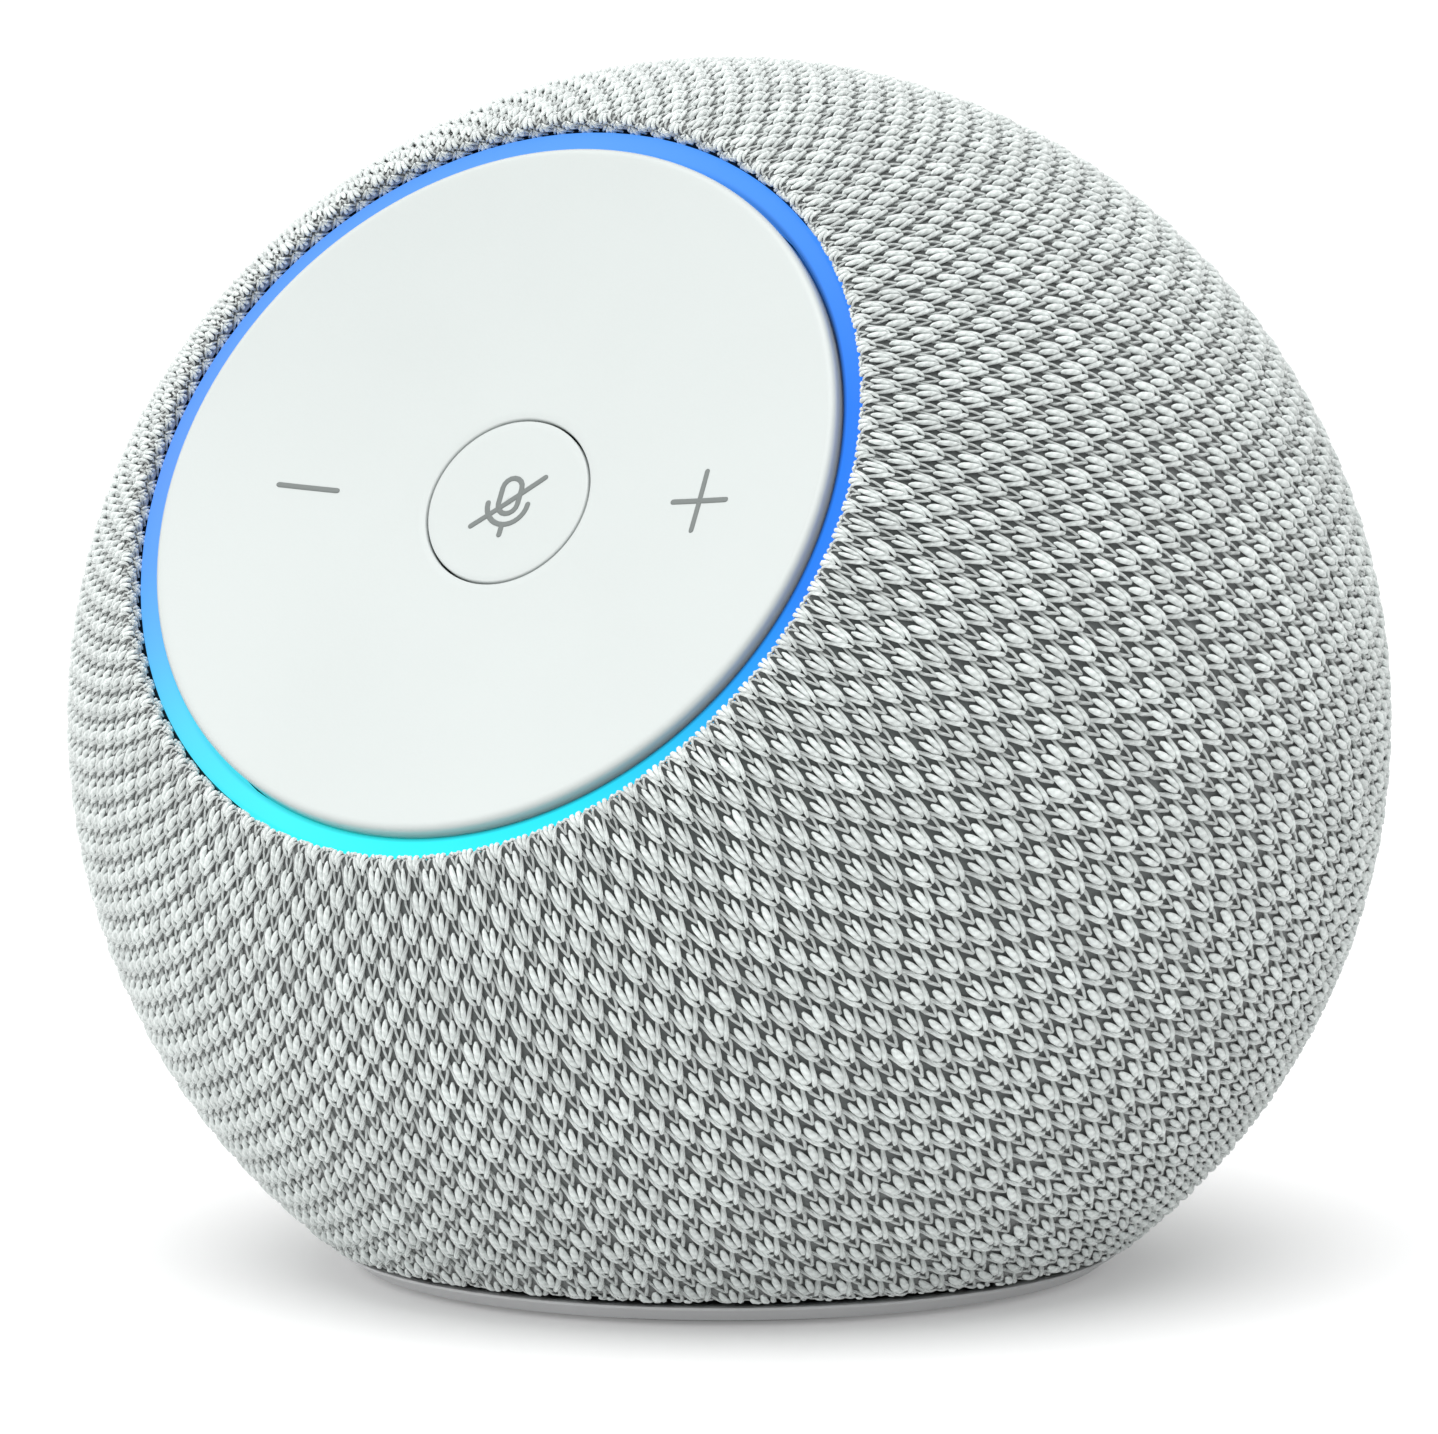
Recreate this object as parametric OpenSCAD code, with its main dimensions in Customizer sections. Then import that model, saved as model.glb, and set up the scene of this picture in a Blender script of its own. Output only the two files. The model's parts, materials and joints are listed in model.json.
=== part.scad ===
// Ball-shaped smart speaker with a tilted control disc.
// The table is z = 0, the ball stands over the origin and its face looks along -Y, tilted up.

/* [Body] */
// Diameter of the ball over its knit cover
ball_d = 108.7; // [108:0.1:109.4]
// Height of the speaker above the table
total_h = 99.2; // [98.9:0.1:99.5]
// Thickness of the knit cover
knit_t = 1.2; // [1:0.1:1.3]
// Wall thickness of the housing shells
shell_t = 2; // [1.8:0.1:2.1]

/* [Face] */
// Angle that the face looks up above the horizon
face_tilt = 30; // [29:0.5:31]
// Radius of the control disc
disc_r = 29.56; // [29.3:0.02:29.6]
// Depth of the dish in the control disc
disc_dish = 3.74; // [3.4:0.02:3.9]
// Radius of the hemmed opening in the knit
opening_r = 31.65; // [31.6:0.01:31.8]
// Radius of the mute button
button_r = 6.95; // [6.8:0.01:7]
// Travel of the mute button
button_travel = 0.5; // [0.3:0.1:0.5]
// Number of lamps under the light ring
led_count = 24; // [12:1:30]

/* [Base] */
// Radius of the base ring at its upper edge
base_top_r = 32.49; // [32:0.01:32.8]
// Radius of the base ring at its lower edge
base_bottom_r = 30.86; // [30:0.01:31.2]
// Height of the base ring's upper edge above the table
base_top_z = 1.97; // [1.7:0.01:2]
// Height of the base ring's lower edge above the table
base_bottom_z = 0.46; // [0.3:0.01:0.8]

/* [Drivers] */
// Radius of the woofer's mounting flange
woofer_r = 32.5; // [31:0.1:33]
// Travel of the woofer cone each way
woofer_travel = 1.5; // [1:0.1:1.5]
// Radius of the tweeter's frame
tweeter_r = 13.2; // [12.8:0.1:13.2]
// Travel of the tweeter dome each way
tweeter_travel = 0.3; // [0.1:0.1:0.3]
// Width of each sound slot round the woofer
slot_w = 1.6; // [1:0.1:2.2]

/* [Hidden] */

// Facets round each circle, and the overshoot of a cut past the face that it opens
$fn = 128;
cut = 1;
// Fitting gap between pieces that are only laid together
gap = 0.1;
// Running clearance of a guided piece in its bore
run = 0.08;
// Width of the small chamfers
edge = 0.2;

// Ball
ball_r = ball_d / 2;
ball_z = total_h - ball_r;
shell_r = ball_r - knit_t - 0.25;
cavity_r = shell_r - shell_t;
// Ribs and bosses end inside the wall that they grow from
root_r = shell_r - shell_t / 2;

// Heights along the face's axis, from the ball's centre
cup_floor = 29.3;
cup_t = 1.9;
carrier_bottom = cup_floor + cup_t + gap;
carrier_t = 1.8;
carrier_top = carrier_bottom + carrier_t;
touch_bottom = carrier_top + 0.5;
touch_t = 1;
touch_top = touch_bottom + touch_t;
light_board_bottom = carrier_top + 1.9;
light_board_top = light_board_bottom + 1;
led_t = 0.8;
guide_bottom = light_board_top + led_t + 0.3;
guide_top = 42.2;
skirt_bottom = light_board_top + gap;
disc_rim = 43.37;
disc_t = 1.6;
hem_bottom = 40.6;

// Dish of the disc: one ball surface through the rim and the centre's depth
dish_r = (disc_r * disc_r + disc_dish * disc_dish) / (2 * disc_dish);
dish_z = disc_rim - disc_dish + dish_r;

// Radii round the face's axis
cup_r = opening_r + knit_t + 0.35;
cup_wall = 1.6;
carrier_r = cup_r - 0.2;
carrier_wall = 1.3;
guide_r = opening_r - 0.15;
guide_inner_r = disc_r + 0.16;
disc_skirt_t = 1.36;
button_hole_r = button_r + 0.35;
hub_t = 1.5;
touch_board_r = 24.5;
touch_mark_x = 17.82;
carrier_screw_r = 27.2;
flex_y = 10;
flex_w = 12;

// Heights above the table
split_z = 31;
seal_t = 0.4;
knit_bottom_z = 2.55;
hem_t = 1;
hem_inner_r = 31.2;
housing_bottom_z = knit_bottom_z + hem_t + 0.05;
floor_t = 1.8;
floor_hole_r = 23;
plate_r = 31;
plate_z = 2.1;
plate_top_z = housing_bottom_z - gap;
plate_inner_r = 28.9;
foot_t = 0.9;
foot_inner_r = 18;
ledge_top_z = 22;
ledge_t = 1.8;
ledge_r = 41.8;
baffle_gasket_t = 0.5;
baffle_z = ledge_top_z + baffle_gasket_t;
baffle_t = 2;
baffle_top_z = baffle_z + baffle_t;
baffle_r = 44.9;
baffle_hole_r = 29.8;
baffle_screw_r = 43.4;
column_r = 3.4;
column_at = 46.8;
column_top_z = 41;
column_head_z = 26;
base_boss_r = 2.8;
base_boss_at = 26;
base_boss_z = 12;
slot_bottom_z = 8;
slot_h = 10.6;
slot_step = 7.5;

// Woofer, on the ball's vertical axis and facing down
woofer_gasket_t = 0.5;
flange_z = baffle_top_z + woofer_gasket_t;
flange_t = 1.4;
flange_inner_r = 27.2;
ear_at = woofer_r + 2;
ear_r = 3;
landing_z = flange_z + 10.2;
landing_t = 1.2;
landing_r = 19.8;
basket_top_r = 23.4;
basket_wall = 1.2;
deck_z = flange_z + 17.2;
magnet_r = 17.5;
magnet_inner_r = 12.5;
top_plate_t = 3;
magnet_t = 7;
yoke_r = 16.5;
yoke_t = 3;
pole_r = 9.3;
gap_r = 10.75;
former_r = 9.65;
former_t = 0.2;
winding_t = 0.55;
cone_r = 24.8;
cone_t = 0.5;
cone_rim_z = flange_z - 2.8;
cone_neck_r = former_r + former_t + 0.1;
cone_neck_z = flange_z + 7.4;
cap_r = 11.5;

// Tweeter, behind the ball's top and facing up
tweeter_y = 8;
tweeter_z = 90;
tweeter_frame_t = 1.4;
tweeter_hole_r = 10.3;
collar_wall = 1.65;
collar_z = 86.5;
pot_r = 11.6;
pot_inner_r = 10;
pot_bottom_z = 80.6;
pot_floor_t = 1.4;
dome_r = 9.5;
dome_rise = 2.3;
dome_z = tweeter_z + 1.2;
dome_t = 0.25;
voice_r = 9.15;
collar_r = tweeter_r + 0.15;

// Main board, upright behind the woofer's magnet
board_y = 26;
board_t = 1.2;
board_w = 40;
board_bottom_z = 40;
board_top_z = 78;
board_hole_x = 17;
board_hole_z = [43.5, 74.5];
post_r = 2.5;

// Power inlet, at the back just above the base
inlet_z = 14;
inlet_w = 14;
inlet_h = 7;
inlet_face_y = 44.2;
inlet_back_y = 38;
socket_w = 8.94;
socket_h = 3.26;
socket_wall = 0.35;
socket_body = [socket_w + 0.3, 4, 6];
tongue = [6.69, 5.4, 0.7];

// Switch under the button
switch_w = 6;
switch_h = 1.6;
plunger_r = 1.62;
plunger_h = 1.35;
stem_r = 1.8;
button_wall = 1;
button_lip = 0.9;
button_guide_h = 1.2;

// Slot that the flat cable passes through, and the twin leads' sections
flex_slot = [flex_w + 2, 2.4, 10];
flex_t = 0.3;
lead_t = 0.9;
lead_w = 2.4;
power_lead_w = 3;

// Screws stand on the diagonals. Shaft radius, and the radius of the hole it is driven into
corners = 4;
diagonal = 45;
screw_r = 1;
pilot_r = 1.05;
big_screw_r = 1.15;
big_pilot_r = 1.2;

function arc(radius, from, to, steps) =
    [for (i = [0:steps]) let (a = from + (to - from) * i / steps) radius * [cos(a), sin(a)]];
function shifted(points, offset) = [for (p = points) p + offset];
function turned(list) = [for (i = [len(list) - 1:-1:0]) list[i]];
// Closed band of one thickness above a line of points
function band(points, t) = concat(points, turned(shifted(points, [0, t])));
// Line of points moved sideways by a distance
function beside(points, distance) = [
    for (i = [0:len(points) - 1])
        let (
            along = points[min(i + 1, len(points) - 1)] - points[max(i - 1, 0)],
            side = [-along.y, along.x] / norm(along)
        )
            points[i] + distance * side
];
// Outline with round ends, its long side along X
function pill(w, h) = concat(
    shifted(arc(h / 2, -90, 90, 10), [(w - h) / 2, 0]),
    shifted(arc(h / 2, 90, 270, 10), [-(w - h) / 2, 0])
);
function dish_at(r) = dish_z - sqrt(dish_r * dish_r - r * r);

module face_frame()
    translate([0, 0, ball_z])
        rotate([90 - face_tilt, 0, 0])
            children();

module ball(r)
    translate([0, 0, ball_z])
        sphere(r, $fn = 160);

module below(z)
    translate([-ball_d, -ball_d, z - ball_d])
        cube([2 * ball_d, 2 * ball_d, ball_d]);

module above(z)
    translate([-ball_d, -ball_d, z])
        cube([2 * ball_d, 2 * ball_d, ball_d]);

module rod(r, bottom, top)
    translate([0, 0, bottom])
        cylinder(r = r, h = top - bottom);

module tube(outer, inner, bottom, top)
    difference() {
        rod(outer, bottom, top);
        rod(inner, bottom - cut, top + cut);
    }

module box(size, centre)
    translate(centre - size / 2)
        cube(size);

// Copies round an axis at a radius
module around(count, radius, start)
    for (i = [0:count - 1])
        rotate([0, 0, start + i * 360 / count])
            translate([radius, 0, 0])
                children();

// Extrusion along +Y from one y to another, round the power inlet's centre line
module inlet_run(from, to)
    translate([0, from, inlet_z])
        rotate([-90, 0, 0])
            linear_extrude(to - from)
                children();

// Flat cable or twin lead along a line of (y, z) points, t thick, extruded across x
module ribbon(points, t, x, w)
    translate([x - w / 2, 0, 0])
        rotate([90, 0, 90])
            linear_extrude(w)
                polygon(concat(beside(points, t / 2), turned(beside(points, -t / 2))));

// Pan-head screw pointing along +Z, its head's seat at the origin
module screw(shaft_r, head_r, head_h, length) {
    rod(head_r, -head_h, 0);
    rod(shaft_r, -head_h / 2, length);
}

// ---- Outside ----

module knit_cover()
    color("gainsboro")
        difference() {
            ball(ball_r);
            difference() {
                ball(ball_r - knit_t);
                face_frame()
                    rod(opening_r + knit_t, hem_bottom, ball_r + cut);
                below(knit_bottom_z + hem_t);
            }
            face_frame()
                rod(opening_r, 0, ball_r + cut);
            below(knit_bottom_z);
            rod(hem_inner_r, 0, knit_bottom_z + 2 * hem_t);
            inlet_run(inlet_back_y, ball_r)
                polygon(pill(inlet_w + 4 * gap, inlet_h + 4 * gap));
        }

module control_disc()
    color("azure")
        face_frame()
            difference() {
                rod(disc_r, skirt_bottom, disc_rim);
                translate([0, 0, dish_z])
                    sphere(dish_r, $fn = 200);
                difference() {
                    rod(disc_r - disc_skirt_t, skirt_bottom - cut, disc_rim);
                    translate([0, 0, dish_z])
                        sphere(dish_r + disc_t, $fn = 200);
                    rod(button_hole_r + hub_t, skirt_bottom - 2 * cut, disc_rim);
                }
                rod(button_hole_r, skirt_bottom - cut, disc_rim);
            }

// Heights of the button's parts: its stop flange rests just under the hub of the disc
flange_top = skirt_bottom - gap;
button_bottom = flange_top - 0.5;
plunger_top = touch_top + switch_h + 0.65;

module mute_button()
    color("azure")
        face_frame()
            difference() {
                union() {
                    rod(button_r, button_bottom, disc_rim);
                    rod(button_hole_r - run, button_bottom, skirt_bottom + button_guide_h);
                    rod(button_hole_r + button_lip, button_bottom, flange_top);
                }
                translate([0, 0, dish_z])
                    sphere(dish_r, $fn = 200);
                tube(button_r - button_wall, stem_r, button_bottom - cut, dish_at(0) - disc_t);
                rod(stem_r + gap, button_bottom - cut, plunger_top);
            }

module switch_plunger()
    color("dimgray")
        face_frame()
            rod(plunger_r, plunger_top - plunger_h, plunger_top);

module mute_switch()
    color("black")
        face_frame()
            difference() {
                box([switch_w, switch_w, switch_h], [0, 0, touch_top + switch_h / 2]);
                rod(plunger_r + run, plunger_top - plunger_h - button_travel - gap, plunger_top);
            }

module light_ring()
    color("cyan")
        face_frame()
            rotate_extrude()
                polygon([
                    [guide_inner_r, guide_bottom],
                    [guide_r, guide_bottom],
                    [guide_r, guide_top - edge],
                    [guide_r - edge, guide_top],
                    [guide_inner_r + edge, guide_top],
                    [guide_inner_r, guide_top - edge]
                ]);

module base_ring()
    color("darkgray")
        rotate_extrude()
            polygon([
                [plate_inner_r + gap, base_bottom_z],
                [base_bottom_r, base_bottom_z],
                [base_top_r, base_top_z],
                [base_top_r - edge, plate_z - 0.05],
                [plate_inner_r + gap, plate_z - 0.05]
            ]);

module foot_pad()
    color("dimgray")
        tube(plate_inner_r - 0.3, foot_inner_r, 0, foot_t);

module inlet_panel()
    color("silver")
        difference() {
            inlet_run(inlet_back_y, inlet_face_y)
                polygon(pill(inlet_w, inlet_h));
            inlet_run(inlet_back_y - cut, inlet_face_y + cut)
                polygon(pill(socket_w + gap, socket_h + gap));
        }

module power_socket()
    color("silver") {
        difference() {
            inlet_run(inlet_back_y - 1, inlet_face_y - 0.2)
                polygon(pill(socket_w, socket_h));
            inlet_run(inlet_back_y, inlet_face_y + cut)
                polygon(pill(socket_w - 2 * socket_wall, socket_h - 2 * socket_wall));
        }
        box(tongue, [0, inlet_back_y + 2.2, inlet_z]);
        box(socket_body, [0, inlet_back_y - 1 - socket_body.y / 2, inlet_z]);
    }

// ---- Housing ----

module upper_housing()
    color("darkslategray")
        difference() {
            union() {
                difference() {
                    ball(shell_r);
                    ball(cavity_r);
                    below(split_z + seal_t);
                }
                intersection() {
                    ball(root_r);
                    union() {
                        face_frame()
                            rod(cup_r + cup_wall, cup_floor, ball_r);
                        translate([0, tweeter_y, 0]) {
                            tube(collar_r + collar_wall, collar_r, collar_z, total_h);
                            tube(collar_r + 0.15, collar_r - 1.35, tweeter_z + gap, tweeter_z + 1.2);
                        }
                        around(corners, column_at, diagonal)
                            rod(column_r, split_z + seal_t, column_top_z);
                        for (x = [-board_hole_x, board_hole_x], z = board_hole_z)
                            translate([x, board_y + board_t, z])
                                rotate([-90, 0, 0])
                                    rod(post_r, 0, ball_r);
                    }
                }
                face_frame()
                    around(corners, carrier_screw_r, diagonal)
                        rod(2.6, cup_floor - 3.8, cup_floor + cut);
            }
            face_frame() {
                rod(cup_r, cup_floor + cup_t, ball_r + cut);
                around(corners, carrier_screw_r, diagonal)
                    rod(pilot_r, cup_floor - 2.8, ball_r);
                box(flex_slot, [0, flex_y, cup_floor]);
            }
            around(corners, column_at, diagonal)
                rod(big_pilot_r, split_z, column_top_z - cut);
            for (x = [-board_hole_x, board_hole_x], z = board_hole_z)
                translate([x, board_y, z])
                    rotate([-90, 0, 0])
                        rod(pilot_r, 0, 8);
            tweeter_holes();
            at_microphones()
                rod(0.6, cavity_r - cut, shell_r + cut);
        }

// Sound holes over the tweeter, in rows that are staggered by half a pitch
module tweeter_holes() {
    pitch = 3;
    rows = 3;
    for (row = [-rows:rows], column = [-rows:rows]) {
        x = (column + row / 2 - round(row / 2)) * pitch;
        y = row * pitch * sin(60);
        if (norm([x, y]) < rows * pitch)
            translate([x, tweeter_y + y, 0])
                rod(1, tweeter_z + 3, total_h + cut);
    }
}

// Places of the three microphones under the ball's upper side, local Z outwards
module at_microphones()
    for (turn = [-100, 0, 100])
        translate([0, 0, ball_z])
            rotate([0, 0, turn])
                rotate([-48, 0, 0])
                    children();

module microphones()
    color("gold")
        at_microphones()
            rod(2.2, cavity_r - 2.8, cavity_r - 1.3);

module mic_gaskets()
    color("black")
        at_microphones()
            tube(2.4, 0.8, cavity_r - 1.25, cavity_r - 0.15);

module lower_housing()
    color("darkslategray")
        difference() {
            union() {
                difference() {
                    ball(shell_r);
                    ball(cavity_r);
                    above(split_z);
                }
                intersection() {
                    ball(root_r);
                    union() {
                        rod(hem_inner_r + 3, 0, housing_bottom_z + floor_t);
                        around(corners, base_boss_at, diagonal)
                            rod(base_boss_r, 0, base_boss_z);
                        around(corners, column_at, diagonal)
                            rod(column_r, 10, split_z);
                        tube(ball_r, ledge_r, ledge_top_z - ledge_t, ledge_top_z);
                        inlet_run(inlet_back_y, ball_r)
                            polygon(pill(inlet_w + 3.2, inlet_h + 3.2));
                    }
                }
            }
            below(housing_bottom_z);
            rod(floor_hole_r, 0, housing_bottom_z + floor_t + cut);
            around(corners, base_boss_at, diagonal)
                rod(big_pilot_r, 0, base_boss_z - cut);
            around(corners, column_at, diagonal) {
                rod(2.3, 0, column_head_z);
                rod(big_pilot_r, 0, split_z + cut);
            }
            around(corners, baffle_screw_r, 0)
                rod(pilot_r, ledge_top_z - 3, ledge_top_z + cut);
            inlet_run(inlet_back_y - cut, ball_r + cut)
                polygon(pill(inlet_w + 2 * gap, inlet_h + 2 * gap));
            sound_slots();
        }

// Slots round the woofer's chamber, clear of the screw columns and of the power inlet
module sound_slots() {
    angles = [
        for (a = [0:slot_step:359])
            if (abs(a % 90 - 45) > slot_step + 1 && abs(a - 90) > 2.5 * slot_step) a
    ];
    for (a = angles)
        rotate([0, 0, a])
            translate([hem_inner_r + 1, -slot_w / 2, slot_bottom_z])
                cube([ball_r, slot_w, slot_h]);
}

module housing_seal()
    color("black")
        tube(50.5, 49.3, split_z, split_z + seal_t);

module face_carrier()
    color("slategray")
        face_frame()
            difference() {
                union() {
                    rod(carrier_r, carrier_bottom, carrier_top);
                    tube(carrier_r, carrier_r - carrier_wall, carrier_bottom, hem_bottom - 2 * gap);
                    tube(carrier_r - 0.5, carrier_r - 2.8, carrier_bottom, light_board_bottom);
                    around(corners, 21, 0)
                        rod(2, carrier_bottom, touch_bottom);
                }
                around(corners, carrier_screw_r, diagonal)
                    rod(1.2, carrier_bottom - cut, carrier_top + cut);
                box(flex_slot, [0, flex_y, carrier_bottom]);
            }

module touch_board()
    color("darkgreen")
        face_frame()
            difference() {
                rod(touch_board_r, touch_bottom, touch_top);
                box(flex_slot, [0, flex_y, touch_bottom]);
            }

module touch_pads()
    color("goldenrod")
        face_frame()
            around(2, touch_mark_x, 0)
                rod(3.5, touch_top, dish_at(touch_mark_x - 3.5) - disc_t - gap);

module light_board()
    color("white")
        face_frame()
            tube(carrier_r - carrier_wall - gap, 27, light_board_bottom, light_board_top);

module leds()
    color("khaki")
        face_frame()
            around(led_count, 30.3, 0)
                box([1.2, 1.6, led_t], [0, 0, light_board_top + led_t / 2]);

module base_plate()
    color("gray")
        difference() {
            union() {
                rod(plate_r, plate_z, plate_top_z);
                rod(plate_inner_r, foot_t, plate_z + cut / 2);
            }
            around(corners, base_boss_at, diagonal) {
                rod(2.4, 0, plate_z);
                rod(1.35, 0, plate_top_z + cut);
            }
        }

module sound_deflector() {
    foot_r = floor_hole_r - 0.5;
    rise = 11.9;
    steps = 12;
    curve = [
        for (i = [0:steps])
            let (t = i / steps)
                [foot_r * (1 - t), plate_top_z + 1.1 + rise * t * t]
    ];
    color("gray")
        rotate_extrude()
            polygon(concat([[0, plate_top_z + 0.05], [foot_r, plate_top_z + 0.05]], curve));
}

// ---- Woofer ----

module baffle_notches()
    around(corners, column_at, diagonal)
        rod(column_r + 0.3, ledge_top_z - cut, baffle_top_z + cut);

module woofer_baffle()
    color("dimgray")
        difference() {
            tube(baffle_r, baffle_hole_r, baffle_z, baffle_top_z);
            baffle_notches();
            around(corners, baffle_screw_r, 0)
                rod(1.2, baffle_z - cut, baffle_top_z + cut);
            around(corners, ear_at, diagonal)
                rod(pilot_r, baffle_z - cut, baffle_top_z + cut);
            box([8, 4, 3 * baffle_t], [0, inlet_back_y, baffle_z]);
        }

module baffle_gasket()
    color("black")
        difference() {
            tube(baffle_r - gap, ledge_r + 0.2, ledge_top_z, baffle_z);
            baffle_notches();
            around(corners, baffle_screw_r, 0)
                rod(1.2, ledge_top_z - cut, baffle_z + cut);
        }

module lead_grommet()
    color("black")
        difference() {
            union() {
                box([7.8, 3.8, baffle_t + 0.2], [0, inlet_back_y, baffle_z + baffle_t / 2 + gap]);
                box([10, 6, 0.8], [0, inlet_back_y, baffle_top_z + 0.4]);
            }
            box([3.4, 1.4, 5 * baffle_t], [0, inlet_back_y, baffle_z]);
        }

module woofer_gasket()
    color("black")
        tube(woofer_r - gap, baffle_hole_r, baffle_top_z, flange_z);

module woofer_basket() {
    wall_foot = flange_inner_r + 0.8;
    seat_z = flange_z + flange_t;
    slope = (wall_foot - (basket_top_r - 1.3)) / (landing_z + 1.2 - seat_z);
    windows = 6;
    color("darkgray")
        difference() {
            union() {
                rotate_extrude()
                    polygon([
                        [flange_inner_r, flange_z],
                        [woofer_r, flange_z],
                        [woofer_r, seat_z],
                        [wall_foot + 1.4, seat_z],
                        [basket_top_r, landing_z + 1.4],
                        [basket_top_r, deck_z],
                        [gap_r + 0.65, deck_z],
                        [gap_r + 0.65, deck_z - basket_wall],
                        [basket_top_r - basket_wall, deck_z - basket_wall],
                        [basket_top_r - basket_wall, landing_z + 1.2],
                        [wall_foot - slope * (landing_z - seat_z), landing_z],
                        [landing_r, landing_z],
                        [landing_r, landing_z - landing_t],
                        [wall_foot - slope * (landing_z - landing_t - seat_z), landing_z - landing_t],
                        [wall_foot, seat_z],
                        [flange_inner_r, seat_z]
                    ]);
                around(corners, ear_at, diagonal)
                    tube(ear_r, 1.2, flange_z, seat_z);
            }
            around(windows, 0, 0)
                box([14, 9, 5.2], [28, 0, landing_z - landing_t - 3.4]);
            around(corners, ear_at, diagonal)
                rod(1.2, flange_z - cut, seat_z + cut);
        }
}

module woofer_top_plate()
    color("silver")
        tube(magnet_r, gap_r, deck_z, deck_z + top_plate_t);

module woofer_magnet()
    color("dimgray")
        tube(magnet_r, magnet_inner_r, deck_z + top_plate_t, deck_z + top_plate_t + magnet_t);

module woofer_yoke()
    color("silver") {
        yoke_z = deck_z + top_plate_t + magnet_t;
        rod(yoke_r, yoke_z, yoke_z + yoke_t);
        rod(pole_r, deck_z + 0.4, yoke_z + cut);
    }

module woofer_cone() {
    slope = (cone_neck_z - cone_rim_z) / (cone_r - 1 - cone_neck_r);
    // Front surface of the cone, slightly flared from its neck to its rim
    steps = 8;
    front = [
        for (i = [0:steps])
            let (t = i / steps, r = cone_neck_r + (cone_r - 1 - cone_neck_r) * t)
                [r, cone_neck_z - slope * (r - cone_neck_r) - 0.8 * sin(180 * t)]
    ];
    color("darkslategray")
        rotate_extrude()
            polygon(band(concat(front, [[cone_r, cone_rim_z]]), cone_t));
}

module woofer_dust_cap() {
    // A ball's cap that bulges down from the cone's neck
    rise = 2.4;
    curve_r = (cap_r * cap_r + rise * rise) / (2 * rise);
    rim_z = cone_neck_z - 1.5;
    color("black")
        intersection() {
            translate([0, 0, rim_z - rise + curve_r])
                difference() {
                    sphere(curve_r);
                    sphere(curve_r - 0.4);
                }
            rod(cap_r, rim_z - rise - cut, rim_z);
        }
}

module woofer_coil()
    color("peru") {
        // The winding stays across the gap over the whole travel
        winding_h = top_plate_t + 2 * woofer_travel + 1.2;
        top = deck_z + (top_plate_t + winding_h) / 2;
        tube(former_r + former_t, former_r, cone_neck_z + 0.2, top);
        tube(former_r + former_t + winding_t, former_r + former_t / 2, top - winding_h, top);
    }

// Half roll that steps down from the frame to the cone's rim
module woofer_surround() {
    outer = baffle_hole_r - 0.3;
    roll = flange_inner_r + 0.4;
    inner = cone_r + 0.1;
    top = flange_z - 0.4;
    drop = 2.3;
    steps = 12;
    line = concat(
        [[outer, top]],
        [
            for (i = [0:steps])
                let (t = i / steps)
                    [roll + (inner - roll) * t, top - drop * t - 0.7 * sin(180 * t)]
        ]
    );
    color("black")
        rotate_extrude()
            polygon(band(line, 0.4));
}

// Corrugated disc that rises from the basket's landing to the coil
module woofer_spider() {
    outer = landing_r + 2;
    flat = landing_r + 0.2;
    inner = former_r + former_t + 0.1;
    rise = 3.2;
    steps = 32;
    waves = 4;
    line = concat(
        [[outer, landing_z]],
        [
            for (i = [0:steps])
                let (t = i / steps)
                    [
                        flat + (inner - flat) * t,
                        landing_z + rise * t + 0.35 * sin(360 * waves * t) * sin(180 * t)
                    ]
        ]
    );
    color("khaki")
        rotate_extrude()
            polygon(band(line, 0.3));
}

// ---- Tweeter ----

module tweeter_frame()
    color("dimgray")
        translate([0, tweeter_y, 0])
            tube(tweeter_r, tweeter_hole_r, tweeter_z - tweeter_frame_t, tweeter_z);

module tweeter_pot()
    color("silver")
        translate([0, tweeter_y, 0])
            difference() {
                rod(pot_r, pot_bottom_z, tweeter_z - tweeter_frame_t - gap);
                rod(pot_inner_r, pot_bottom_z + pot_floor_t, tweeter_z);
            }

module tweeter_magnet()
    color("darkgray")
        translate([0, tweeter_y, pot_bottom_z + pot_floor_t])
            rod(8.4, 0.02, 3.6);

module tweeter_pole()
    color("silver")
        translate([0, tweeter_y, pot_bottom_z + pot_floor_t])
            rod(8.85, 3.62, 5.9);

module tweeter_dome() {
    curve_r = (dome_r * dome_r + dome_rise * dome_rise) / (2 * dome_rise);
    color("silver")
        intersection() {
            translate([0, tweeter_y, dome_z + dome_rise - curve_r])
                difference() {
                    sphere(curve_r);
                    sphere(curve_r - dome_t);
                }
            translate([0, tweeter_y, 0])
                rod(dome_r, dome_z - 0.2, dome_z + dome_rise + cut);
        }
}

module tweeter_coil()
    color("peru")
        translate([0, tweeter_y, 0]) {
            winding_h = 2 + 2 * tweeter_travel;
            middle = tweeter_z - 3.3;
            tube(voice_r + 0.13, voice_r, middle - winding_h / 2 - 0.2, dome_z - 0.3);
            tube(voice_r + 0.45, voice_r + 0.05, middle - winding_h / 2, middle + winding_h / 2);
        }

module tweeter_surround() {
    outer = tweeter_r - 1.3;
    roll = tweeter_hole_r + 0.6;
    inner = dome_r + 0.1;
    steps = 8;
    line = concat(
        [[outer, tweeter_z]],
        [
            for (i = [0:steps])
                let (t = i / steps)
                    [roll + (inner - roll) * t, tweeter_z + 1.1 * t + 0.25 * sin(180 * t)]
        ]
    );
    color("black")
        translate([0, tweeter_y, 0])
            rotate_extrude()
                polygon(band(line, 0.15));
}

// ---- Electronics and leads ----

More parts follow.
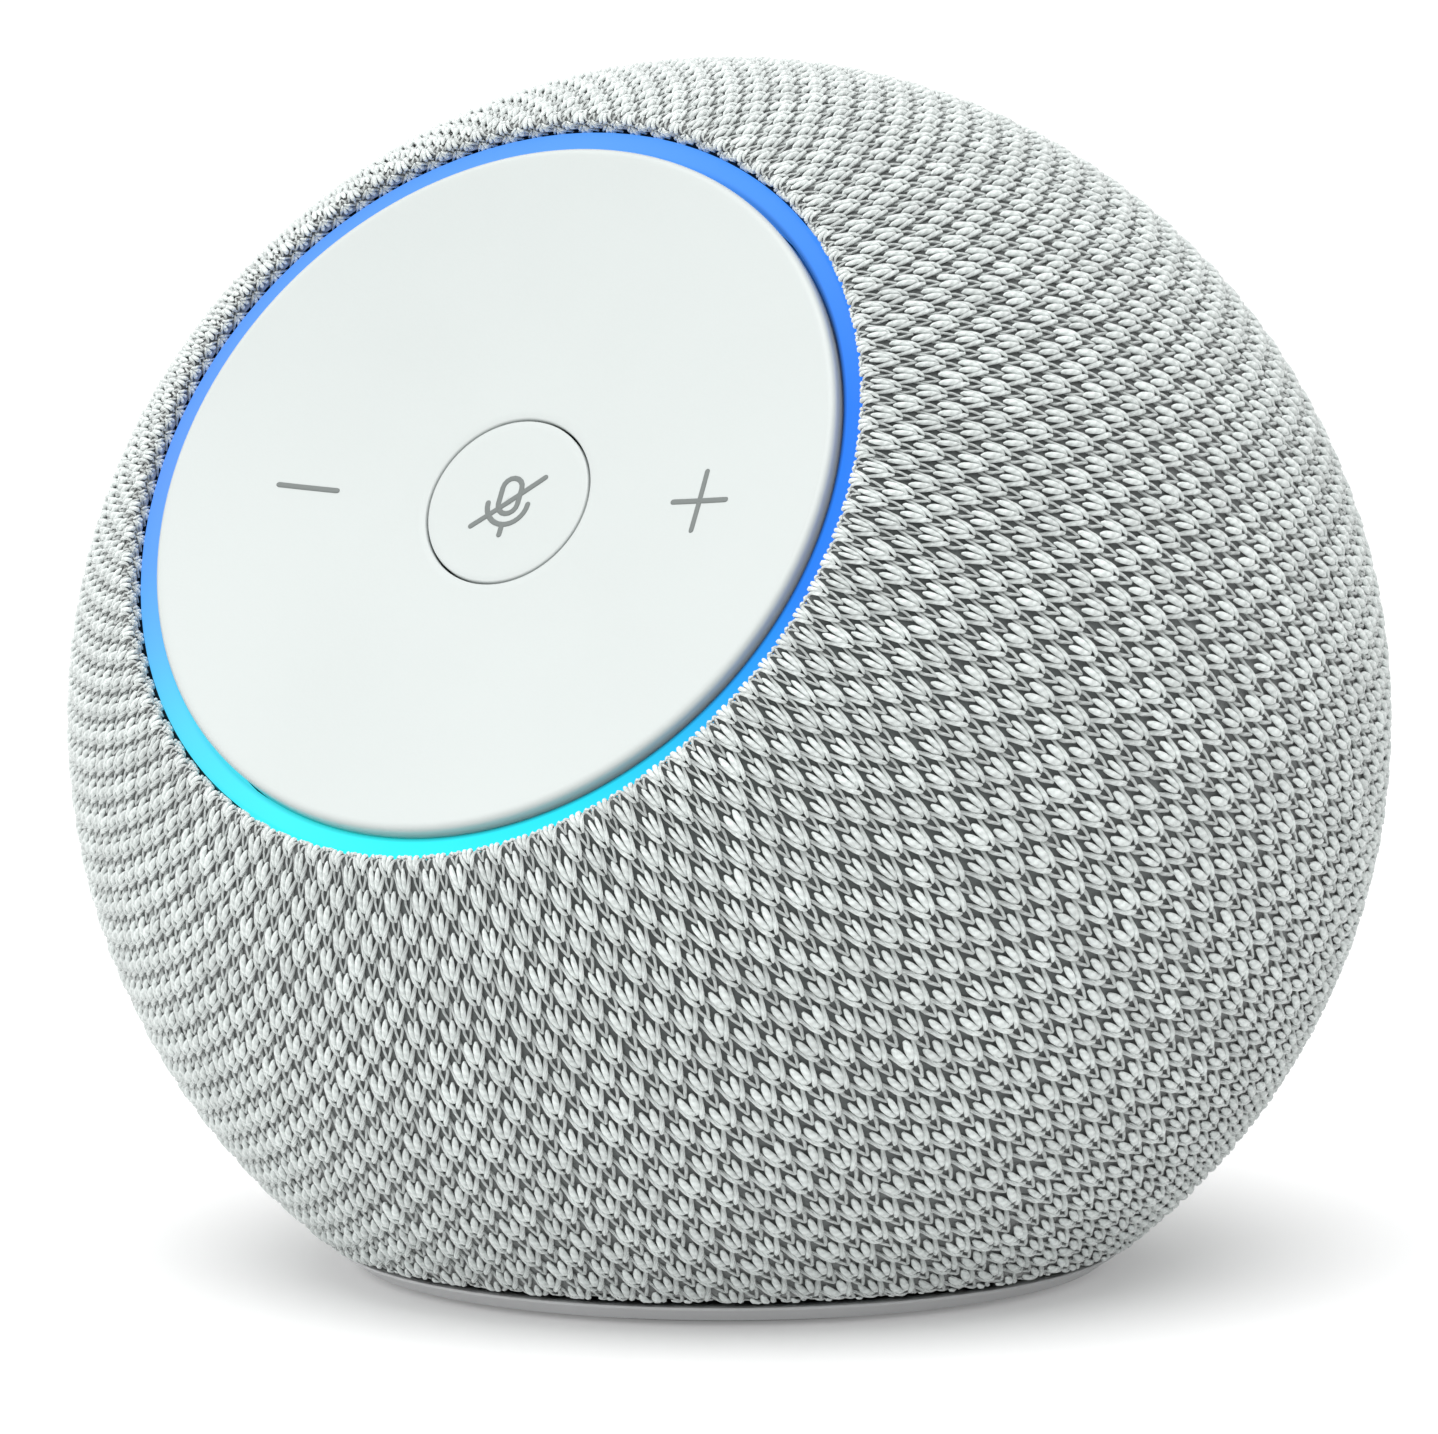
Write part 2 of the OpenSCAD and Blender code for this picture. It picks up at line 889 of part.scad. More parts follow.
module main_board()
    color("darkgreen")
        difference() {
            translate([-board_w / 2, board_y, board_bottom_z])
                cube([board_w, board_t, board_top_z - board_bottom_z]);
            for (x = [-board_hole_x, board_hole_x], z = board_hole_z)
                translate([x, board_y - cut, z])
                    rotate([-90, 0, 0])
                        rod(1.2, 0, board_t + 2 * cut);
        }

// Middle of the chips on the board, and the shield's thickness
chip_z = 58;
shield_t = 2.2;

module shield_can()
    color("silver")
        box([16, shield_t, 16], [0, board_y + board_t + shield_t / 2, chip_z]);

module heat_sink() {
    plate_y = board_y + board_t + shield_t + 0.05;
    plate_w = 20;
    plate_t = 1.5;
    fin_h = 7;
    fin_t = 1;
    fins = 7;
    color("lightgray") {
        box([plate_w, plate_t, plate_w], [0, plate_y + plate_t / 2, chip_z]);
        for (i = [0:fins - 1])
            translate([(plate_w - fin_t) * (i / (fins - 1) - 0.5), plate_y + plate_t, chip_z])
                box([fin_t, fin_h, plate_w], [0, fin_h / 2 - 0.05, 0]);
    }
}

module board_connectors()
    color("ivory") {
        box([flex_w + 2, 2.5, 3], [0, board_y - 1.25, 66]);
        box([6, 3.6, 4], [12, board_y - 1.8, 46]);
        box([5, 3.6, 3], [-6, board_y - 1.8, 73.5]);
        box([8, 3.4, 3], [0, board_y - 1.7, 44.9]);
    }

module face_flex()
    color("orange") {
        start = touch_bottom - 1.2;
        stop = cup_floor - 3.5;
        reach = cos(face_tilt);
        lift = sin(face_tilt);
        // The cable leaves the boards along the face's axis, then crosses to the main board
        on_axis = [
            for (h = [start, stop])
                [flex_y * lift - h * reach, ball_z + h * lift + flex_y * reach]
        ];
        ribbon(concat(on_axis, [[-5, 64.6], [14, 65.8], [board_y - 2.55, 65.8]]), flex_t, 0, flex_w);
    }

module woofer_lead()
    color("crimson")
        ribbon([[23.8, 33], [24.8, 37], [24.8, 43.95]], lead_t, 12, lead_w);

module tweeter_lead()
    color("crimson")
        ribbon([[19.3, 86], [19.3, 80.4], [22.6, 77.6], [24, 76.2], [24, 75]], lead_t, -6, lead_w);

// Rises from the socket through the baffle, then forwards under the main board
module power_lead()
    color("crimson")
        ribbon(
            [[35.2, 17], [35.2, 18], [36.4, 20], [38, 22.2], [38, 26.4], [33, 34.2], [27.2, 38.2],
             [25, 40.1], [25, 43.3]],
            lead_t, 0, power_lead_w
        );

// ---- Fasteners ----

module base_screws()
    color("silver")
        around(corners, base_boss_at, diagonal)
            translate([0, 0, plate_z])
                screw(big_screw_r, 2.2, 1, 8);

module housing_screws()
    color("silver")
        around(corners, column_at, diagonal)
            translate([0, 0, column_head_z])
                screw(big_screw_r, 2.1, 1.4, 12);

module carrier_screws()
    color("silver")
        face_frame()
            around(corners, carrier_screw_r, diagonal)
                translate([0, 0, carrier_top])
                    rotate([180, 0, 0])
                        screw(screw_r, 1.7, 1.3, 5.8);

module baffle_screws()
    color("silver")
        around(corners, baffle_screw_r, 0)
            translate([0, 0, baffle_top_z])
                rotate([180, 0, 0])
                    screw(screw_r, 1.9, 1.3, 5);

module woofer_screws()
    color("silver")
        around(corners, ear_at, diagonal)
            translate([0, 0, flange_z + flange_t])
                rotate([180, 0, 0])
                    screw(screw_r, 1.9, 1.3, 3.8);

module board_screws()
    color("silver")
        for (x = [-board_hole_x, board_hole_x], z = board_hole_z)
            translate([x, board_y, z])
                rotate([-90, 0, 0])
                    screw(screw_r, 1.9, 1.3, 6);

knit_cover();
control_disc();
mute_button();
light_ring();
base_ring();
foot_pad();
inlet_panel();
power_socket();
upper_housing();
lower_housing();
housing_seal();
face_carrier();
touch_board();
touch_pads();
light_board();
leds();
mute_switch();
switch_plunger();
microphones();
mic_gaskets();
base_plate();
sound_deflector();
woofer_baffle();
baffle_gasket();
lead_grommet();
woofer_basket();
woofer_gasket();
woofer_top_plate();
woofer_magnet();
woofer_yoke();
woofer_cone();
woofer_dust_cap();
woofer_coil();
woofer_surround();
woofer_spider();
tweeter_frame();
tweeter_pot();
tweeter_magnet();
tweeter_pole();
tweeter_dome();
tweeter_coil();
tweeter_surround();
main_board();
shield_can();
heat_sink();
board_connectors();
face_flex();
woofer_lead();
tweeter_lead();
power_lead();
base_screws();
housing_screws();
carrier_screws();
baffle_screws();
woofer_screws();
board_screws();
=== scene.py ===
# Looks of the ball-shaped smart speaker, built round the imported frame.
# Metres, +Z up, the table is z = 0, the ball stands over the origin and its face looks along -Y, tilted up.
import json
import math
import bmesh
import bpy
import numpy as np
from mathutils import Matrix, Vector


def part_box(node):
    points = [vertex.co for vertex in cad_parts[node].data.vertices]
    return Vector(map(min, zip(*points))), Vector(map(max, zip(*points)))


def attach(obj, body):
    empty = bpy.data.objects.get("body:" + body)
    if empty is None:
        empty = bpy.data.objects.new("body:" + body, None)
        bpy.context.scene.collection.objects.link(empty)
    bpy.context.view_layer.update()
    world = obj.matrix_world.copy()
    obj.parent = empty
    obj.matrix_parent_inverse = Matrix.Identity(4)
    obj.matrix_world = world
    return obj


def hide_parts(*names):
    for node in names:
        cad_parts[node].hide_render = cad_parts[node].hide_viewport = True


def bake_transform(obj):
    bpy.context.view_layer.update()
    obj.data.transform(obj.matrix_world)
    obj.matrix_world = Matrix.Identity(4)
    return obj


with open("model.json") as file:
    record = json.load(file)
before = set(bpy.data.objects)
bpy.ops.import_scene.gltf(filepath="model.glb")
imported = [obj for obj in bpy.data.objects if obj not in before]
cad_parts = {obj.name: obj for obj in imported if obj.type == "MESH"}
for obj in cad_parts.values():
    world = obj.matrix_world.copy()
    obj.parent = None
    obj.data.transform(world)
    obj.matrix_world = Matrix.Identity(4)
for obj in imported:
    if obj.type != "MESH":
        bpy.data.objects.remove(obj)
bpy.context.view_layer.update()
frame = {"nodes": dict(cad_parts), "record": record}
RECORD = frame["record"]
MM = 0.001
TAU = 2 * math.pi

# ------------------------------------------------------------------ camera
CAMERA_AT = Vector((273.289, -475.404, 97.67)) * MM
CAMERA_RIGHT = Vector((0.86632, 0.49948, -0.00300))
CAMERA_UP = Vector((-0.04515, 0.08430, 0.99542))
SENSOR = 36.0
LENS = 167.49

camera_data = bpy.data.cameras.new("camera")
camera_data.sensor_width = SENSOR
camera_data.lens = LENS
camera_data.clip_start = 0.01
camera_data.clip_end = 20.0
camera = bpy.data.objects.new("camera", camera_data)
bpy.context.scene.collection.objects.link(camera)
right = CAMERA_RIGHT.normalized()
back = right.cross(CAMERA_UP).normalized()
up = back.cross(right).normalized()
turn = Matrix((right, up, back)).transposed().to_4x4()
camera.matrix_world = Matrix.Translation(CAMERA_AT) @ turn
bpy.context.scene.camera = camera

# ------------------------------------------------------------------ sizes
# The ball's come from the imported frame. The face's are the CAD part's, with edges set finer by the photo.
knit_low, knit_high = (np.array(v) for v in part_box("knit_cover"))
BALL_R = (knit_high[0] - knit_low[0]) / 2
BALL_Z = knit_high[2] - BALL_R
KNIT_BOTTOM = knit_low[2]
CENTRE = np.array((0.0, 0.0, BALL_Z))
TILT = math.radians(30)
FACE_X = np.array((1.0, 0.0, 0.0))
FACE_Y = np.array((0.0, math.sin(TILT), math.cos(TILT)))
FACE_N = np.array((0.0, -math.cos(TILT), math.sin(TILT)))

OPENING_R = 31.54 * MM
HEM_BEND = 0.6 * MM
DISC_R = 29.56 * MM
DISH_R = 118.66 * MM
DISH_H = 158.29 * MM
BUTTON_R = 7.0 * MM
BUTTON_HOLE_R = 7.17 * MM
RING_INNER_R = 29.72 * MM
RING_OUTER_R = 31.5 * MM
RING_TOP = 42.2 * MM
RING_BOTTOM = 38.1 * MM


def unit(v):
    return v / np.linalg.norm(v, axis=-1, keepdims=True)


def from_face(points):
    """Points given on the face's axes, from the ball's centre, in the row frame."""
    p = np.asarray(points, float)
    return CENTRE + p[..., :1] * FACE_X + p[..., 1:2] * FACE_Y + p[..., 2:3] * FACE_N


def dish_height(r):
    return DISH_H - np.sqrt(DISH_R ** 2 - np.asarray(r) ** 2)


# ------------------------------------------------------------------ meshes
def mesh_object(name, verts, faces):
    """A smooth mesh object from its vertices and an array of four-sided faces."""
    mesh = bpy.data.meshes.new(name)
    verts = np.ascontiguousarray(verts, np.float32)
    faces = np.ascontiguousarray(faces, np.int32)
    mesh.vertices.add(len(verts))
    mesh.vertices.foreach_set("co", verts.ravel())
    mesh.loops.add(faces.size)
    mesh.loops.foreach_set("vertex_index", faces.ravel())
    mesh.polygons.add(len(faces))
    mesh.polygons.foreach_set("loop_start", np.arange(len(faces), dtype=np.int32) * faces.shape[1])
    mesh.polygons.foreach_set("use_smooth", np.ones(len(faces), bool))
    mesh.update(calc_edges=True)
    mesh.validate()
    obj = bpy.data.objects.new(name, mesh)
    bpy.context.scene.collection.objects.link(obj)
    return obj


def grid_faces(rows, columns, wrap_rows=False, wrap_columns=True):
    """Four-sided faces over rows of vertices, joined round where a direction wraps."""
    r = np.arange(rows if wrap_rows else rows - 1)
    c = np.arange(columns if wrap_columns else columns - 1)
    r, c = (a.ravel() for a in np.meshgrid(r, c, indexing="ij"))
    r2, c2 = (r + 1) % rows, (c + 1) % columns
    return np.stack([r * columns + c, r * columns + c2, r2 * columns + c2, r2 * columns + c], 1)


def rounded(points, radii, steps=5):
    """A profile of (r, h) corners, each rounded with its radius, or left sharp at 0."""
    out = []
    n = len(points)
    for i, (p, radius) in enumerate(zip(points, radii)):
        p = np.array(p, float)
        if radius <= 0:
            out.append(p)
            continue
        a, b = np.array(points[i - 1], float), np.array(points[(i + 1) % n], float)
        da, db = unit(a - p), unit(b - p)
        half = math.acos(np.clip(da @ db, -1, 1)) / 2
        reach = radius / math.tan(half)
        centre = p + unit(da + db) * radius / math.sin(half)
        start, end = p + da * reach - centre, p + db * reach - centre
        angle = math.acos(np.clip(unit(start) @ unit(end), -1, 1))
        for k in range(steps + 1):
            t = k / steps
            w = (math.sin((1 - t) * angle) * start + math.sin(t * angle) * end) / math.sin(angle)
            out.append(centre + w)
    return np.array(out)


def lathe(name, profile, count, face=True):
    """A turned piece from a closed (r, h) profile, round the face's axis or the vertical axis."""
    profile = np.asarray(profile, float)
    a = np.arange(count) * TAU / count
    r, h = profile[:, 0][:, None], profile[:, 1][:, None]
    local = np.stack([r * np.cos(a), r * np.sin(a), h + 0 * a], -1).reshape(-1, 3)
    verts = from_face(local) if face else local
    return mesh_object(name, verts, grid_faces(len(profile), count, wrap_rows=True)[:, ::-1])


# ------------------------------------------------------------------ materials
def material(name, colour, roughness=0.5, metallic=0.0, specular=0.5, **sockets):
    mat = bpy.data.materials.new(name)
    mat.use_nodes = True
    shader = mat.node_tree.nodes["Principled BSDF"]
    shader.inputs["Base Color"].default_value = (*colour, 1)
    shader.inputs["Roughness"].default_value = roughness
    shader.inputs["Metallic"].default_value = metallic
    shader.inputs["Specular IOR Level"].default_value = specular
    for key, value in sockets.items():
        shader.inputs[key.replace("_", " ")].default_value = value
    return mat


def add(mat, kind, inputs=None, **properties):
    """A node with its properties and its inputs set; an input that is a socket is linked."""
    node = mat.node_tree.nodes.new("ShaderNode" + kind)
    for key, value in properties.items():
        setattr(node, key, value)
    for key, value in (inputs or {}).items():
        socket = node.inputs[key]
        if isinstance(value, bpy.types.NodeSocket):
            mat.node_tree.links.new(value, socket)
        else:
            socket.default_value = value
    return node


def shader_of(mat):
    return mat.node_tree.nodes["Principled BSDF"]


def link(mat, output, name):
    mat.node_tree.links.new(output, shader_of(mat).inputs[name])


def position(mat):
    """The surface's own place in the row frame, as an object that never moves from the origin has it."""
    return add(mat, "TexCoord").outputs["Object"]


def noise(mat, scale, detail=3.0, roughness=0.5, vector=None):
    return add(mat, "TexNoise", inputs={
        "Vector": vector or position(mat), "Scale": scale, "Detail": detail, "Roughness": roughness,
    }).outputs["Fac"]


def stretched(mat, factors):
    return add(mat, "VectorMath", operation="MULTIPLY", inputs={0: position(mat), 1: factors}).outputs[0]


def ramp(mat, value, stops):
    """A colour ramp over (place, colour) stops."""
    node = add(mat, "ValToRGB", inputs={"Fac": value})
    node.color_ramp.elements[0].position = stops[0][0]
    node.color_ramp.elements[0].color = (*stops[0][1], 1)
    for at, colour in stops[1:-1]:
        node.color_ramp.elements.new(at).color = (*colour, 1)
    node.color_ramp.elements[-1].position = stops[-1][0]
    node.color_ramp.elements[-1].color = (*stops[-1][1], 1)
    return node.outputs["Color"]


def spread(mat, value, low, high, at):
    """The value taken from the range at to the range from low to high."""
    return add(mat, "MapRange", inputs={
        "Value": value, "From Min": at[0], "From Max": at[1], "To Min": low, "To Max": high,
    }).outputs["Result"]


def bump(mat, height, depth):
    return add(mat, "Bump", inputs={
        "Height": height, "Distance": depth, "Strength": 1.0,
    }).outputs["Normal"]


def shade(colour, by):
    return tuple(min(1.0, c * by) for c in colour)


def finished(name, colour, roughness, metallic=0.0, kind="grain", scale=900.0, depth=0.00003,
             contrast=0.12, specular=0.5, **sockets):
    """A material whose colour, gloss and relief vary the way its real surface does."""
    mat = material(name, colour, roughness, metallic, specular, **sockets)
    if kind == "grain":
        fine = noise(mat, scale, 4.0)
    elif kind == "brushed":
        fine = noise(mat, scale, 3.0, vector=stretched(mat, (1.0, 1.0, 0.06)))
    elif kind == "turned":
        fine = noise(mat, scale, 2.0, vector=stretched(mat, (0.04, 0.04, 1.0)))
    elif kind == "fibre":
        fine = noise(mat, scale, 8.0, 0.7, vector=stretched(mat, (1.0, 0.35, 1.0)))
    elif kind == "wound":
        fine = add(mat, "TexWave", wave_type="BANDS", bands_direction="Z", inputs={
            "Vector": position(mat), "Scale": scale, "Distortion": 0.2,
        }).outputs["Fac"]
    elif kind == "woven":
        warp, weft = (add(mat, "TexWave", wave_type="BANDS", bands_direction=direction, inputs={
            "Vector": position(mat), "Scale": scale, "Distortion": 0.4,
        }).outputs["Fac"] for direction in "XY")
        fine = add(mat, "Math", operation="MAXIMUM", inputs={0: warp, 1: weft}).outputs[0]
    else:
        fine = add(mat, "TexVoronoi", feature="DISTANCE_TO_EDGE", inputs={
            "Vector": position(mat), "Scale": scale,
        }).outputs["Distance"]
        fine = spread(mat, fine, 0.0, 1.0, (0.0, 0.3))
    broad = noise(mat, 60.0, 3.0)
    both = add(mat, "Math", operation="MULTIPLY_ADD", inputs={0: fine, 1: 0.6, 2: broad}).outputs[0]
    link(mat, ramp(mat, both, [(0.35, shade(colour, 1 - contrast)), (1.0, shade(colour, 1 + contrast))]),
         "Base Color")
    link(mat, spread(mat, both, max(0.02, roughness - 0.08), min(1.0, roughness + 0.1), (0.5, 1.1)),
         "Roughness")
    link(mat, bump(mat, fine, depth), "Normal")
    return mat


def paint(obj, mat):
    obj.data.materials.clear()
    obj.data.materials.append(mat)
    return obj


def srgb(*levels):
    """The linear colour of 0 to 255 display levels."""
    return tuple(((v / 255 + 0.055) / 1.055) ** 2.4 if v > 10 else v / 255 / 12.92 for v in levels)


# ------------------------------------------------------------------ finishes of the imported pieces
FINISHES = {
    "knit": dict(colour=(0.62, 0.64, 0.63), roughness=0.95, kind="fibre", scale=2600.0),
    "face_plastic": dict(colour=(0.444, 0.474, 0.465), roughness=0.38, scale=4200.0, depth=0.000004,
                         contrast=0.015),
    "light_guide": dict(colour=(0.75, 0.86, 0.9), roughness=0.4, scale=2200.0, depth=0.000006,
                        contrast=0.03),
    "base_plastic": dict(colour=(0.46, 0.465, 0.47), roughness=0.42, scale=3800.0, depth=0.000008,
                         contrast=0.05),
    "rubber": dict(colour=(0.022, 0.022, 0.024), roughness=0.85, scale=2600.0, depth=0.00003, contrast=0.25),
    "housing_plastic": dict(colour=(0.018, 0.019, 0.021), roughness=0.6, scale=3000.0, depth=0.00002,
                            contrast=0.2),
    "circuit_board": dict(colour=(0.012, 0.09, 0.05), roughness=0.35, kind="cells", scale=700.0,
                          depth=0.00001, contrast=0.3, Coat_Weight=0.3),
    "lamp": dict(colour=(0.86, 0.8, 0.5), roughness=0.25, scale=1500.0, depth=0.00001),
    "steel": dict(colour=(0.52, 0.52, 0.53), roughness=0.3, metallic=1.0, kind="turned", scale=3000.0,
                  depth=0.000006),
    "painted_steel": dict(colour=(0.05, 0.052, 0.056), roughness=0.5, scale=2200.0, depth=0.00002),
    "ferrite": dict(colour=(0.05, 0.048, 0.05), roughness=0.7, scale=2600.0, depth=0.00004, contrast=0.25),
    "aluminium": dict(colour=(0.72, 0.73, 0.74), roughness=0.32, metallic=1.0, kind="brushed", scale=2600.0,
                      depth=0.000006),
    "paper": dict(colour=(0.055, 0.053, 0.05), roughness=0.9, kind="fibre", scale=1400.0, depth=0.00005,
                  contrast=0.3),
    "treated_cloth": dict(colour=(0.5, 0.36, 0.16), roughness=0.85, kind="woven", scale=900.0,
                          depth=0.00006, contrast=0.25),
    "copper": dict(colour=(0.75, 0.33, 0.17), roughness=0.3, metallic=1.0, kind="wound", scale=2600.0,
                   depth=0.00005, contrast=0.2),
    "conductive_foam": dict(colour=(0.16, 0.16, 0.17), roughness=0.9, kind="cells", scale=1600.0,
                            depth=0.00008, contrast=0.3),
    "connector_plastic": dict(colour=(0.7, 0.66, 0.55), roughness=0.5, scale=1800.0, depth=0.00001),
    "flex_film": dict(colour=(0.62, 0.27, 0.04), roughness=0.28, kind="brushed", scale=900.0,
                      depth=0.00001, Coat_Weight=0.4),
    "lead_sheath": dict(colour=(0.35, 0.02, 0.02), roughness=0.45, scale=1500.0, depth=0.00002),
}
PALETTE = {name: finished(name, **facts) for name, facts in FINISHES.items()}
for entry in RECORD["subparts"]:
    paint(frame["nodes"][entry["node"]], PALETTE[entry["material_slot"]])

# ------------------------------------------------------------------ suspensions of the drivers
SECTORS = 16
WELD = 1e-7
CUT_WELD = 1e-8


def suspension(node):
    """The node's own mesh cut into sectors round its centre, each with the node's finish, in place of the
    node.
    """
    low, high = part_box(node)
    centre = Vector(((low.x + high.x) / 2, (low.y + high.y) / 2, high.z))
    slot = next(e["material_slot"] for e in RECORD["subparts"] if e["node"] == node)
    half = math.pi / SECTORS
    for k in range(SECTORS):
        middle = 2 * k * half
        cut = bmesh.new()
        cut.from_mesh(frame["nodes"][node].data)
        bmesh.ops.remove_doubles(cut, verts=cut.verts[:], dist=WELD)
        for angle, side in ((middle - half, -1.0), (middle + half, 1.0)):
            bmesh.ops.bisect_plane(
                cut, geom=cut.verts[:] + cut.edges[:] + cut.faces[:], dist=CUT_WELD, plane_co=centre,
                plane_no=(-side * math.sin(angle), side * math.cos(angle), 0.0), clear_outer=True,
            )
        mesh = bpy.data.meshes.new(f"{node}_{k + 1:02d}")
        cut.to_mesh(mesh)
        cut.free()
        sector = bpy.data.objects.new(mesh.name, mesh)
        bpy.context.scene.collection.objects.link(sector)
        paint(sector, PALETTE[slot])
        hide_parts(node)
        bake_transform(sector)


suspension("woofer_spider")
suspension("woofer_surround")
suspension("tweeter_surround")

# ------------------------------------------------------------------ control disc, button and marks
DISC_EDGE = 0.55 * MM
GROOVE_EDGE = 0.14 * MM
SKIRT_INNER_R = 28.2 * MM
DISC_BOTTOM = 38.2 * MM
DISC_T = 1.6 * MM
DISC_SIDES = 320
BUTTON_SIDES = 160
GROOVE_DEPTH = 1.5 * MM
RIM_WIDTH = 1.1 * MM
AXIS_R = 0.02 * MM
BUTTON_BOTTOM = 36.9 * MM
CHAMFER = 0.3 * GROOVE_EDGE


def dish_line(inner, outer, count):
    """Points (r, h) along the dish."""
    r = np.linspace(inner, outer, count)
    return np.stack([r, dish_height(r)], 1)


def control_disc():
    """The dished disc with its rounded edge, its skirt and the hole round the button."""
    inner = dish_line(BUTTON_HOLE_R + GROOVE_EDGE, DISC_R - RIM_WIDTH, 36)
    corner = rounded(
        [inner[-1], (DISC_R, float(dish_height(DISC_R))), (DISC_R, DISC_BOTTOM)],
        [0, DISC_EDGE, 0], 8,
    )
    hole = float(dish_height(BUTTON_HOLE_R))
    profile = np.concatenate([
        [(BUTTON_HOLE_R, hole - GROOVE_DEPTH), (BUTTON_HOLE_R, hole - GROOVE_EDGE),
         (BUTTON_HOLE_R + CHAMFER, hole - CHAMFER)],
        inner,
        corner[1:],
        [(SKIRT_INNER_R, DISC_BOTTOM), (SKIRT_INNER_R, float(dish_height(SKIRT_INNER_R)) - DISC_T)],
        [(BUTTON_HOLE_R + 1.5 * MM, hole - DISC_T - 0.2 * MM)],
    ])
    disc = lathe("control_disc_face", profile, DISC_SIDES)
    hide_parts("control_disc")
    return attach(disc, "housing")


def mute_button():
    """The button's cap, which goes on with the disc's dish."""
    top = dish_line(AXIS_R, BUTTON_R - GROOVE_EDGE, 14)
    edge = float(dish_height(BUTTON_R))
    profile = np.concatenate([
        top,
        [(BUTTON_R - CHAMFER, edge - CHAMFER), (BUTTON_R, edge - GROOVE_EDGE),
         (BUTTON_R, DISC_BOTTOM + 0.2 * MM), (BUTTON_R, BUTTON_BOTTOM), (AXIS_R, BUTTON_BOTTOM)],
    ])
    button = lathe("mute_button_cap", profile, BUTTON_SIDES)
    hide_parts("mute_button")
    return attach(button, "button")


MARK_R = 0.235 * MM
MARK_PROUD = 0.06 * MM
MARK_SUNK = 0.05 * MM
ACROSS = np.array((-1.0, -0.92, -0.7, -0.35, 0.0, 0.35, 0.7, 0.92, 1.0))
END_STEPS = (25, 50, 70, 85)
LAST_STEP = math.radians(80)


def stroke(points, closed=False):
    """Vertices and faces of a low rounded bead that follows a line over the dish."""
    p = np.asarray(points, float) * MM
    n = len(p)
    if closed:
        along = unit(np.roll(p, -1, 0) - np.roll(p, 1, 0))
    else:
        along = unit(np.gradient(p, axis=0))
    side = np.stack([-along[:, 1], along[:, 0]], 1)
    lift = MARK_PROUD * np.sqrt(np.clip(1 - ACROSS ** 4, 0, 1))
    lift[[0, -1]] = -MARK_SUNK
    rows = [p[i] + side[i] * ACROSS[:, None] * MARK_R for i in range(n)]
    heights = [lift] * n
    if not closed:
        # Round ends: the cross-section shrinks as it passes the line's end
        for end, sign, index in ((p[0], -1, 0), (p[-1], 1, n - 1)):
            extra, extra_h = [], []
            for step in np.radians(END_STEPS):
                centre = end + along[index] * sign * MARK_R * math.sin(step)
                extra.append(centre + side[index] * ACROSS[:, None] * MARK_R * math.cos(step))
                if step < LAST_STEP:
                    extra_h.append(np.where(lift > 0, lift * math.cos(step) ** 0.5, -MARK_SUNK))
                else:
                    extra_h.append(np.full(len(ACROSS), -MARK_SUNK))
            if sign < 0:
                rows, heights = extra[::-1] + rows, extra_h[::-1] + heights
            else:
                rows, heights = rows + extra, heights + extra_h
    flat = np.concatenate(rows)
    h = dish_height(np.linalg.norm(flat, axis=1)) + np.concatenate(heights)
    verts = from_face(np.column_stack([flat, h]))
    faces = grid_faces(len(rows), len(ACROSS), wrap_rows=closed, wrap_columns=False)
    return verts, faces[:, ::-1]


def joined(name, parts):
    """One mesh object from several (vertices, faces)."""
    verts, faces, start = [], [], 0
    for v, f in parts:
        verts.append(v)
        faces.append(f + start)
        start += len(v)
    return mesh_object(name, np.concatenate(verts), np.concatenate(faces))


def arc_points(centre, radius, start, end, count):
    a = np.radians(np.linspace(start, end, count))
    return np.stack([centre[0] + radius * np.cos(a), centre[1] + radius * np.sin(a)], 1)


def straight(a, b, count=8):
    t = np.linspace(0, 1, count)[:, None]
    return np.array(a, float) * (1 - t) + np.array(b, float) * t


MARK_X = 17.82
MARK_HALF = 2.5
CAPSULE_R = 0.86
CAPSULE_TOP, CAPSULE_LOW = 1.2, -0.15
CRADLE_R = 1.8
STEM_END = -2.85
SLASH_END = (2.75, 2.2)
ink = finished("mark_ink", (0.125, 0.14, 0.135), 0.55, scale=5000.0, depth=0.000004, contrast=0.06)


def marks():
    """The minus and plus marks on the disc, and the crossed-out microphone on the button."""
    bars = joined("volume_marks", [
        stroke(straight((-MARK_X - MARK_HALF, 0), (-MARK_X + MARK_HALF, 0))),
        stroke(straight((MARK_X - MARK_HALF, 0), (MARK_X + MARK_HALF, 0))),
        stroke(straight((MARK_X, -MARK_HALF), (MARK_X, MARK_HALF))),
    ])
    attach(bars, "housing")
    # A crossed-out microphone: capsule, cradle, stem and a slash
    capsule = np.concatenate([
        arc_points((0, CAPSULE_TOP), CAPSULE_R, 0, 180, 9),
        arc_points((0, CAPSULE_LOW), CAPSULE_R, 180, 360, 9),
    ])
    cradle = arc_points((0, CAPSULE_LOW), CRADLE_R, 180, 360, 17)
    mic = joined("mute_mark", [
        stroke(capsule, closed=True),
        stroke(cradle),
        stroke(straight((0, CAPSULE_LOW - CRADLE_R), (0, STEM_END), 5)),
        stroke(straight((-SLASH_END[0], -SLASH_END[1]), SLASH_END, 12)),
    ])
    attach(mic, "button")
    paint(bars, ink)
    paint(mic, ink)


paint(control_disc(), PALETTE["face_plastic"])
paint(mute_button(), PALETTE["face_plastic"])
marks()

